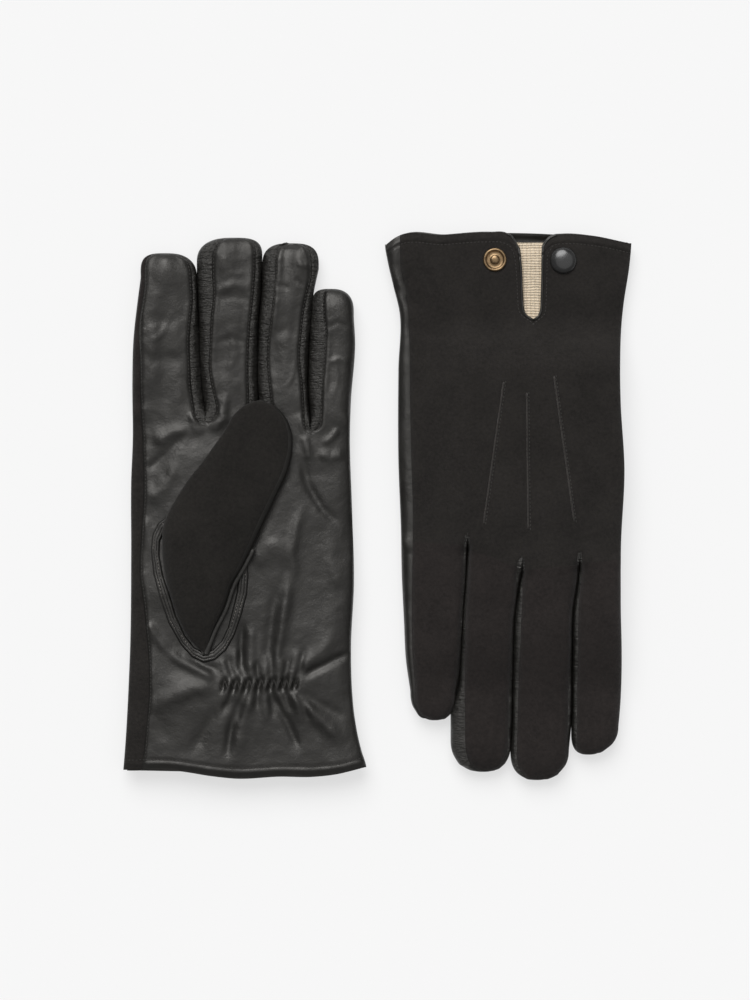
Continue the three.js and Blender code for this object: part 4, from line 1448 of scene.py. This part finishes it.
def thumb_pieces(skin):
    """The thumb: a flattened sleeve from its hole in the palm to its tip."""
    glove = skin.glove
    side = glove.side
    u = np.linspace(0, 1, THUMB_ROWS)
    shares = blend_between(u, (1 - np.cos(math.pi * u)) / 2, 0.75)
    lx, ly = resampled(THUMB_LEFT, shares)
    rx, ry = resampled(THUMB_RIGHT, shares)
    if glove.palm_up:
        left_z = Line((0, 15.0), (0.15, 15.0), (0.42, 15.4), (0.55, 17.6), (1, 17.8))(shares)
        right_z = Line((0, 15.2), (0.15, 16.2), (0.5, 18), (1, 17.8))(shares)
        high = Line((0, 0.4), (0.06, 3.0), (0.2, 6.6), (0.4, 7.0), (0.6, 5.0), (0.85, 3.6),
                    (1, 3.3))(shares)
        low = Line((0, 0.2), (0.3, 0.4), (0.6, 1.8), (1, 2.2))(shares)
    else:
        left_z = right_z = Line((0, 6.6), (0.2, 4.4), (0.5, 4.0), (1, 3.0))(shares)
        high = Line((0, 0.6), (0.15, 3.2), (0.5, 3.4), (1, 2.4))(shares)
        low = Line((0, 0.6), (0.15, 3.6), (0.5, 3.6), (1, 2.5))(shares)
    closing = np.sqrt(np.clip(1 - np.clip((shares - 0.93) / 0.07, 0, 1) ** 2, 0, 1))
    high, low = high * np.maximum(closing, 0.05), low * np.maximum(closing, 0.05)
    angle = np.linspace(math.pi, 0, THUMB_COLUMNS + 1)
    across = np.cos(angle)
    faces = {}
    for top in (True, False):
        share = (across[None] + 1) / 2
        x = blend_between(lx[:, None], rx[:, None], share)
        y = blend_between(ly[:, None], ry[:, None], share)
        edge = blend_between(left_z[:, None], right_z[:, None], share)
        bulge = crown(across[None], 2.5)
        z = edge + (high if top else -low)[:, None] * bulge
        if top == glove.palm_up:
            inside = smoothstep(1 - np.abs(across[None]), 0.02, 0.25)
            folds = 0.40 * ripple(x + y * 0.4, y - x * 0.4, 13, 21)
            folds = folds + 0.16 * ripple(x, y, 5, 22) + 0.08 * ripple(x, y, 2, 23)
            z = z + (1 if top else -1) * inside * folds * np.minimum(1, high[:, None])
        faces[top] = np.stack([x, y, z], axis=2)
    ring = np.concatenate([faces[True], faces[False][:, ::-1][:, 1:-1]], axis=1)
    ring[..., 2] = np.maximum(ring[..., 2], TABLE_GAP)
    ring[-1] = ring[-1].mean(axis=0)
    count = ring.shape[1]
    blend = thumb_blend(glove)
    if glove.palm_up:
        suede, leather = (0, THUMB_COLUMNS - STRIP_COLUMNS), (THUMB_COLUMNS - STRIP_COLUMNS, count)
    else:
        suede, leather = (THUMB_COLUMNS, count), (0, THUMB_COLUMNS)
    made = skin_piece(f"{side}_thumb_back", glove, take_columns(ring, *suede), FINISHES["thumb_suede"])
    finish(made, [f"{side}_thumb_suede"], blend=blend)
    made = skin_piece(f"{side}_thumb_front", glove, take_columns(ring, *leather), FINISHES["finger_nappa"])
    finish(made, [f"{side}_thumb_leather"], blend=blend)

    if glove.palm_up:
        strip = np.stack([rx + 0.5, ry - 0.2, right_z + 0.35], axis=1)[3:THUMB_ROWS * 44 // 100]
        made = sweep(f"{side}_thumb_edge", glove, strip, 1.3, FINISHES["finger_nappa"], sides=12, flat=0.5)
        finish(made, blend=blend)


def rim_pieces(skin):
    """The rim sewn round the thumb's hole: a folded band with two rows of stitches where it shows."""
    glove = skin.glove
    side, top = glove.side, glove.palm_up
    rim = np.array(THUMB_RIM + THUMB_RIM_UNDER)
    middle = rim.mean(axis=0)

    def loop(offset, above, step):
        way = middle - rim
        way /= np.linalg.norm(way, axis=1, keepdims=True)
        path = rim + way * offset
        path = np.concatenate([path, path[:1]])
        return on_surface(skin, path, top, above=above, step=step)

    if not top:
        made = sweep(f"{side}_thumb_rim", glove, loop(1.5, 0.2, 1.5)[:-1], 2.1, FINISHES["nappa"],
                     flat=0.36, closed=True)
        finish(made, body=glove.hand_body)
        return
    # Each stitch pulls a dimple into the band.
    loops = [loop(offset, 0.05, 0.42) for offset in (-0.7, 3.5)]
    count = min(len(path) for path in loops)
    outer, inner = (path[np.linspace(0, len(path) - 1, count).astype(int)] for path in loops)
    share = np.linspace(0, 1, 23)
    band = outer[:, None] + (inner - outer)[:, None] * share[None, :, None]
    steps = np.linalg.norm(np.diff((outer + inner) / 2, axis=0), axis=1)
    run = np.concatenate([[0], np.cumsum(steps)])
    pull = 0.5 + 0.5 * np.cos(run / glove_size("stitch_spacing") * 2 * math.pi)
    height = 0.85 * np.clip(1 - np.abs(2 * share - 1) ** 3.0, 0, 1) ** 0.5
    rows = np.exp(-((share - 0.28) / 0.07) ** 2) + np.exp(-((share - 0.68) / 0.07) ** 2)
    band[..., 2] += height[None] - (0.16 + 0.34 * pull)[:, None] * rows[None]
    band[-1] = band[0]
    made = skin_piece(f"{side}_thumb_rim", glove, band, FINISHES["nappa"], 0.4)
    finish(made, body=glove.hand_body)
    seams = [band[:, column] + [0, 0, 0.3] for column in (6, 15)]
    # The rim's stitches wear the lightened thread, a painted highlight.
    finish(stitches(f"{side}_rim_stitches", glove, seams, "rim_thread"),
           body=glove.hand_body)


def hand_stitches(skin):
    """Stitches along the outer seam, the hem and the crotches, and the zigzag over the wrist elastic."""
    glove = skin.glove
    side, w, c = glove.side, WEB_STEPS, COLUMN_STEPS
    paths, flap_paths = [], []
    a, b = skin.vent_columns
    for top in (True, False):
        face = skin.face(top)
        lift = 0.1 if top else -0.1
        for finger, place, column in (("index", 0, w + 1), ("little", 1, HAND_COLUMNS - w - 1)):
            if has_seam(glove, finger, place, top) and glove.palm_up:
                path = face[HEM_ROWS:, column].copy()
                path[:, 2] += lift
                paths.append(path)
        hem = face[HEM_ROWS].copy()
        hem[:, 2] += lift
        if top == glove.palm_up:
            paths.append(hem[2:-2])
            continue
        # Beside the vent the hem's stitches turn and run up to its top.
        along = np.arange(8, VENT_TOP + 0.5, 1.0)
        for edge, away, start, runs in ((FLAP_EDGE, -1.9, hem[2:a - 5], flap_paths),
                                        (STUD_EDGE, 1.9, hem[:b + 5:-1][2:], paths)):
            plan = np.stack([edge(along) + away, along], axis=1)
            plan = np.concatenate([plan, [[VENT_APEX_X, VENT_TOP + 2.2]]])
            runs.append(np.concatenate([start, on_surface(skin, plan, top, above=0.1)]))
    face = skin.face(glove.palm_up)
    for gap in range(3):
        border = (gap + 1) * c
        first = int(np.argmax(face[:, border, 1] >= glove.slits[gap] - U_END))
        left, right = face[first:, border - w - 1], face[first:, border + w + 1]
        loop = np.concatenate([left[::-1], [face[first - 2, border]], right])
        loop[:, 2] += 0.1 if glove.palm_up else -0.1
        paths.append(loop)
    finish(stitches(f"{side}_hand_stitches", glove, paths), body=glove.hand_body)
    finish(stitches(f"{side}_flap_stitches", glove, flap_paths), blend=flap_blend(glove))
    if glove.palm_up:
        x = np.linspace(-12, 25, 27)
        zigzag = np.stack([x, 0.02 * (x - 6) + np.where(np.arange(27) % 2, 38.8, 43.2)], axis=1)
        path = on_surface(skin, zigzag, True, above=0.12, step=0.8)
        made = sweep(f"{side}_wrist_zigzag", glove, path, 0.17, FINISHES["thread"], sides=6)
        finish(made, body=glove.hand_body)
    else:
        points = []
        for k, path in enumerate(BACK_POINTS):
            ridge = on_surface(skin, path, True, above=0.25)
            ridge[[0, -1], 2] -= 0.5
            # The ridge cords wear the lightened suede, a painted highlight.
            made = sweep(f"{side}_point_{k + 1}", glove, ridge, 0.38, FINISHES["ridge"], sides=10)
            finish(made, body=glove.hand_body)
            points.append(on_surface(skin, np.array(path) + [-0.95, 0], True, above=0.05))
        finish(stitches(f"{side}_point_stitches", glove, points), body=glove.hand_body)


# ------------------------------------------------------------------ operators and panel


def each_glove(*builders):
    """Runs the builders on the left glove and then on the right one."""
    for side in ("left", "right"):
        for build in builders:
            build(skin_of(side))
    return {"FINISHED"}


class GLOVES_OT_hands(bpy.types.Operator):
    """Palm leather, suede back, flap, hem, crotch webs and wrist elastic of both gloves."""

    bl_idname = "gloves.hands"
    bl_label = "Hands"

    def execute(self, context):
        return each_glove(hand_pieces)


class GLOVES_OT_fingers(bpy.types.Operator):
    """Lobes, gussets, linings and stitches of the eight fingers."""

    bl_idname = "gloves.fingers"
    bl_label = "Fingers"

    def execute(self, context):
        return each_glove(*(partial(finger_pieces, finger=finger) for finger in FINGERS))


class GLOVES_OT_thumbs(bpy.types.Operator):
    """Both thumbs and the rims of their holes."""

    bl_idname = "gloves.thumbs"
    bl_label = "Thumbs"

    def execute(self, context):
        return each_glove(thumb_pieces, rim_pieces)


class GLOVES_OT_linings(bpy.types.Operator):
    """Knitted linings of the hands and the ribbed knit in the vents."""

    bl_idname = "gloves.linings"
    bl_label = "Linings"

    def execute(self, context):
        return each_glove(lining_pieces)


class GLOVES_OT_vents(bpy.types.Operator):
    """Piping and snaps of the cuff vents."""

    bl_idname = "gloves.vents"
    bl_label = "Vents and snaps"

    def execute(self, context):
        return each_glove(vent_pieces)


class GLOVES_OT_stitches(bpy.types.Operator):
    """Stitches of the hands and flaps."""

    bl_idname = "gloves.stitches"
    bl_label = "Hand stitches"

    def execute(self, context):
        return each_glove(hand_stitches)


# The stage, in metres: two suns, each with its place, its spread in degrees and its power.
SUNS = (("window", (-0.35, 1.25, 1.5), 46, 2.95), ("ceiling", (0.3, 0.15, 2.0), 80, 0.75))
FLOOR_REACH = 3
FLOOR_GREY = 0.26
FLOOR_GLOW = 0.628
SKY_LIGHT = 0.22
CAMERA_PLACE = (-0.00116, 0.00302, 2.2)
SEEN_WIDTH = 0.465
SEEN_HEIGHT_ABOVE_FLOOR = 0.008
SENSOR = 36.0


class GLOVES_OT_stage(bpy.types.Operator):
    """Pale floor, soft daylight and the camera straight above."""

    bl_idname = "gloves.stage"
    bl_label = "Stage"

    def execute(self, context):
        scene = context.scene
        material, tree, shader = node_material("pale_floor")
        wire(tree, shader, {
            "Base Color": (FLOOR_GREY, FLOOR_GREY, FLOOR_GREY, 1),
            "Emission Color": (1, 1, 1, 1),
            "Emission Strength": FLOOR_GLOW,
            "Roughness": 0.9,
            "Specular IOR Level": 0.0,
        })
        corners = [(x * FLOOR_REACH, y * FLOOR_REACH, 0) for x, y in ((-1, -1), (1, -1), (1, 1), (-1, 1))]
        new_object("floor", corners, [(0, 1, 2, 3)], material)

        world = bpy.data.worlds.new("studio")
        world.use_nodes = True
        background = next(n for n in world.node_tree.nodes if n.type == "BACKGROUND")
        background.inputs["Color"].default_value = (1, 1, 1, 1)
        background.inputs["Strength"].default_value = SKY_LIGHT
        scene.world = world

        for name, place, spread, power in SUNS:
            data = bpy.data.lights.new(name, "SUN")
            data.angle = math.radians(spread)
            data.energy = power
            lamp = bpy.data.objects.new(name, data)
            lamp.location = place
            lamp.rotation_mode = "QUATERNION"
            lamp.rotation_quaternion = (-Vector(place)).to_track_quat("-Z", "Y")
            scene.collection.objects.link(lamp)

        data = bpy.data.cameras.new("camera")
        camera = bpy.data.objects.new("camera", data)
        scene.collection.objects.link(camera)
        data.sensor_width = SENSOR
        data.lens = SENSOR * (CAMERA_PLACE[2] - SEEN_HEIGHT_ABOVE_FLOOR) / SEEN_WIDTH
        data.clip_start, data.clip_end = 0.1, 20
        camera.location = CAMERA_PLACE
        scene.camera = camera
        scene.view_settings.view_transform = "Standard"
        return {"FINISHED"}


OPERATORS = (GLOVES_OT_hands, GLOVES_OT_fingers, GLOVES_OT_thumbs, GLOVES_OT_linings, GLOVES_OT_vents,
             GLOVES_OT_stitches, GLOVES_OT_stage)


class GLOVES_PT_panel(bpy.types.Panel):
    """Sidebar panel with one button for each group of pieces."""

    bl_label = "Dress gloves"
    bl_idname = "GLOVES_PT_panel"
    bl_space_type = "VIEW_3D"
    bl_region_type = "UI"
    bl_category = "Gloves"

    def draw(self, context):
        for operator in OPERATORS:
            self.layout.operator(operator.bl_idname)
        for group in (context.scene.glove_sizes, context.scene.glove_colours):
            for name in group.bl_rna.properties.keys():
                if name not in ("rna_type", "name"):
                    self.layout.prop(group, name)


CLASSES = (GloveSizes, GloveColours, *OPERATORS, GLOVES_PT_panel)


def register():
    for made in CLASSES:
        bpy.utils.register_class(made)
    bpy.types.Scene.glove_sizes = bpy.props.PointerProperty(type=GloveSizes)
    bpy.types.Scene.glove_colours = bpy.props.PointerProperty(type=GloveColours)


def unregister():
    del bpy.types.Scene.glove_colours
    del bpy.types.Scene.glove_sizes
    for made in reversed(CLASSES):
        bpy.utils.unregister_class(made)


def main():
    register()
    make_finishes()
    bpy.ops.gloves.hands()
    bpy.ops.gloves.fingers()
    bpy.ops.gloves.thumbs()
    bpy.ops.gloves.linings()
    bpy.ops.gloves.vents()
    bpy.ops.gloves.stitches()
    bpy.ops.gloves.stage()


if __name__ == "__main__":
    main()
